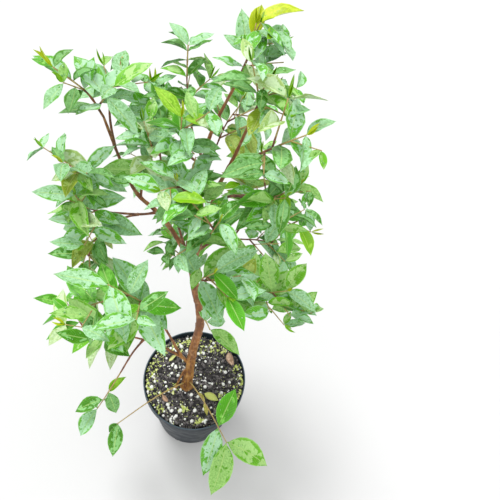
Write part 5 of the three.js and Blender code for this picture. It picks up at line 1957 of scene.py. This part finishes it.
# Lights, floor and camera
def set_camera():
    down, roll = math.radians(CAMERA_DOWN), math.radians(CAMERA_ROLL)
    forward = Vector((0, math.cos(down), -math.sin(down)))
    level_right = Vector((1, 0, 0))
    level_up = level_right.cross(forward)
    right = level_right * math.cos(roll) + level_up * math.sin(roll)
    up = level_up * math.cos(roll) - level_right * math.sin(roll)
    lens = bpy.data.cameras.new("camera")
    lens.lens = CAMERA_LENS
    lens.sensor_width = CAMERA_SENSOR
    lens.clip_start, lens.clip_end = CAMERA_CLIP
    camera = bpy.data.objects.new("camera", lens)
    camera.matrix_world = Matrix((right, up, -forward)).transposed().to_4x4()
    camera.location = CAMERA_PLACE
    bpy.context.scene.collection.objects.link(camera)
    bpy.context.scene.camera = camera


def add_lamp(name, place, spread, strength):
    """A wide soft light that shines from a place towards the plant, even over the whole floor."""
    lamp = bpy.data.lights.new(name, "SUN")
    lamp.angle, lamp.energy = math.radians(spread), strength
    holder = bpy.data.objects.new(name, lamp)
    holder.location = place
    holder.rotation_euler = (-Vector(place)).to_track_quat("-Z", "Y").to_euler()
    bpy.context.scene.collection.objects.link(holder)


# Lamps: place, how wide they look in degrees, and strength
LAMPS = {
    "overhead_softbox": ((-2.9, 2.4, 8.4), 22, 2.1),
    "front_softbox": ((2.2, -5.4, 6.3), 26, 0.4),
}
SKY_STRENGTH = 1.0
FLOOR_SIZE = 14
FLOOR_SHADES = ((0.595, 0.595, 0.595, 1), (0.61, 0.61, 0.61, 1))


def set_studio():
    """A pale floor and soft light from all round, with a large lamp high behind the plant."""
    scene = bpy.context.scene
    world = bpy.data.worlds.new("studio")
    world.use_nodes = True
    world.node_tree.nodes["Background"].inputs["Color"].default_value = (1, 1, 1, 1)
    world.node_tree.nodes["Background"].inputs["Strength"].default_value = SKY_STRENGTH
    scene.world = world
    for name, lamp in LAMPS.items():
        add_lamp(name, *lamp)
    deselect_everything()
    bpy.ops.mesh.primitive_grid_add(x_subdivisions=8, y_subdivisions=8, size=FLOOR_SIZE)
    floor = bpy.context.object
    floor.name = "studio_floor"
    material, tree, shader = new_material("studio_floor")
    grit = grit_at(tree, object_place(tree), 3.0)
    tree.links.new(blend_colours(tree, grit["Cloud"], *FLOOR_SHADES), shader.inputs["Base Color"])
    shader.inputs["Roughness"].default_value = 0.9
    floor.data.materials.append(material)
    scene.view_settings.view_transform = "Standard"


# The whole plant
def dress_pot_and_soil(blanks, leaf_looks):
    finish_piece(model_pot(), "nursery_pot", ["pot"], [plastic_material()])
    looks = {name: soil_material(name, colour(*dark), colour(*light), scale)
             for name, (dark, light, scale) in SOIL_LOOKS.items()}
    finish_piece(model_soil(), "soil_bed", ["soil"], [looks["potting_mix"]])
    rough = [lump_blank(6, 4, 0.42, seed, 0.7) for seed in (3, 8, 21, 34)]
    round_grains = [lump_blank(8, 5, 0.14, seed, 0.92) for seed in (5, 12, 19)]
    tufts = [lump_blank(7, 5, 0.34, seed, 0.6) for seed in (7, 16, 29)]
    for name, look, *how in (
            ("soil_crumbs", "mix_crumbs", rough, CRUMBS, 77, (0.8, 3.0), anywhere, CRUMB_LIFT, False),
            ("white_grains", "white_grains", round_grains, GRAINS, 411, (1.1, 3.3), anywhere, 0.4, True,
             (0.86, 1)),
            ("pale_specks", "pale_specks", rough, SPECKS, 1203, (0.6, 1.3), anywhere, 0.5),
            ("moss_tufts", "moss", tufts, MOSS_TUFTS, 905, (0.9, 2.7), in_clumps, 0.3)):
        finish_piece(strewn(name, *how), name, ["soil"], [looks[look]])
    fallen = [leaf_on_soil(18, -17, -14, 25, 0, 0.1, 0.3),
              leaf_on_soil(-46, 20, 65, 18, 2, 0.1, 0.5, 0.4)]
    dry = [leaf_on_soil(41, 54, -64, 25, 4, 0.2, 0.7, -0.5),
           leaf_on_soil(-30, -40, 150, 15, 4, 0.2, 0.9, 0.5)]
    for kind, leaves in (("fallen", fallen), ("dry", dry)):
        name = kind + "_leaves"
        finish_piece(leaf_piece(name, leaves, blanks), name, ["soil"], leaf_looks[kind])


def dress_wood(limbs, masses):
    thin = [name for name in limbs if name not in MAIN_LIMBS]
    trunk_bark = bark_material("trunk_bark", colour(168, 106, 62), colour(110, 66, 36), colour(212, 166, 116),
                               foot=(colour(188, 136, 58), 0.18))
    bough_bark = bark_material("bough_bark", colour(152, 96, 66), colour(92, 56, 42), colour(192, 146, 108),
                               scale=320.0)
    green_bark = bark_material("green_shoot_bark", colour(190, 172, 106), colour(160, 130, 78),
                               colour(210, 200, 128), scale=420.0)
    finish_piece(bark_skin(limbs), "bark_skin", MAIN_LIMBS, [trunk_bark])
    finish_piece(thin_limbs(limbs, thin), "thin_limbs", thin, [bough_bark])
    woody = twig_tubes("woody_twigs", masses, False)
    finish_piece(woody, "woody_twigs", MASS_NAMES, [bough_bark])
    green = twig_tubes("green_shoots", masses, True)
    finish_piece(green, "green_shoots", MASS_NAMES, [green_bark])


def dress_leaves(masses, blanks, leaf_looks):
    dealt = deal_leaves(masses)
    for kind, leaves in dealt.items():
        piece = leaf_piece("leaves_" + kind, leaves, blanks)
        take(piece)
        bpy.ops.object.shade_smooth_by_angle(angle=MARGIN_ANGLE)
        finish_piece(piece, kind + "_leaves", MASS_NAMES, leaf_looks[kind])
    finish_piece(leaf_piece("dried_leaves", dried_leaves(masses), blanks), "dried_leaves",
                 ["leaves_foot_right"], leaf_looks["dried"])
    beads = place_beads(dealt, blanks, bead_blank())
    finish_piece(beads, "water_beads", MASS_NAMES, [bead_material()])


set_camera()
GROUPS.update(veins=leaf_vein_group(), water=wet_sheen_group(), bark=bark_weather_group(),
              grit=speckle_group())
set_studio()
limbs = grow_limbs()
plans, obstacles = grow_foliage(limbs)
masses = [(mass, twigs + (finer_growth(mass, twigs, obstacles) if mass.tips != "none" else []))
          for mass, twigs in zip(MASSES, plans)]
blanks = [leaf_blank(**form) for form in LEAF_FORMS]
leaf_looks = leaf_materials()
dress_pot_and_soil(blanks, leaf_looks)
dress_wood(limbs, masses)
dress_leaves(masses, blanks, leaf_looks)
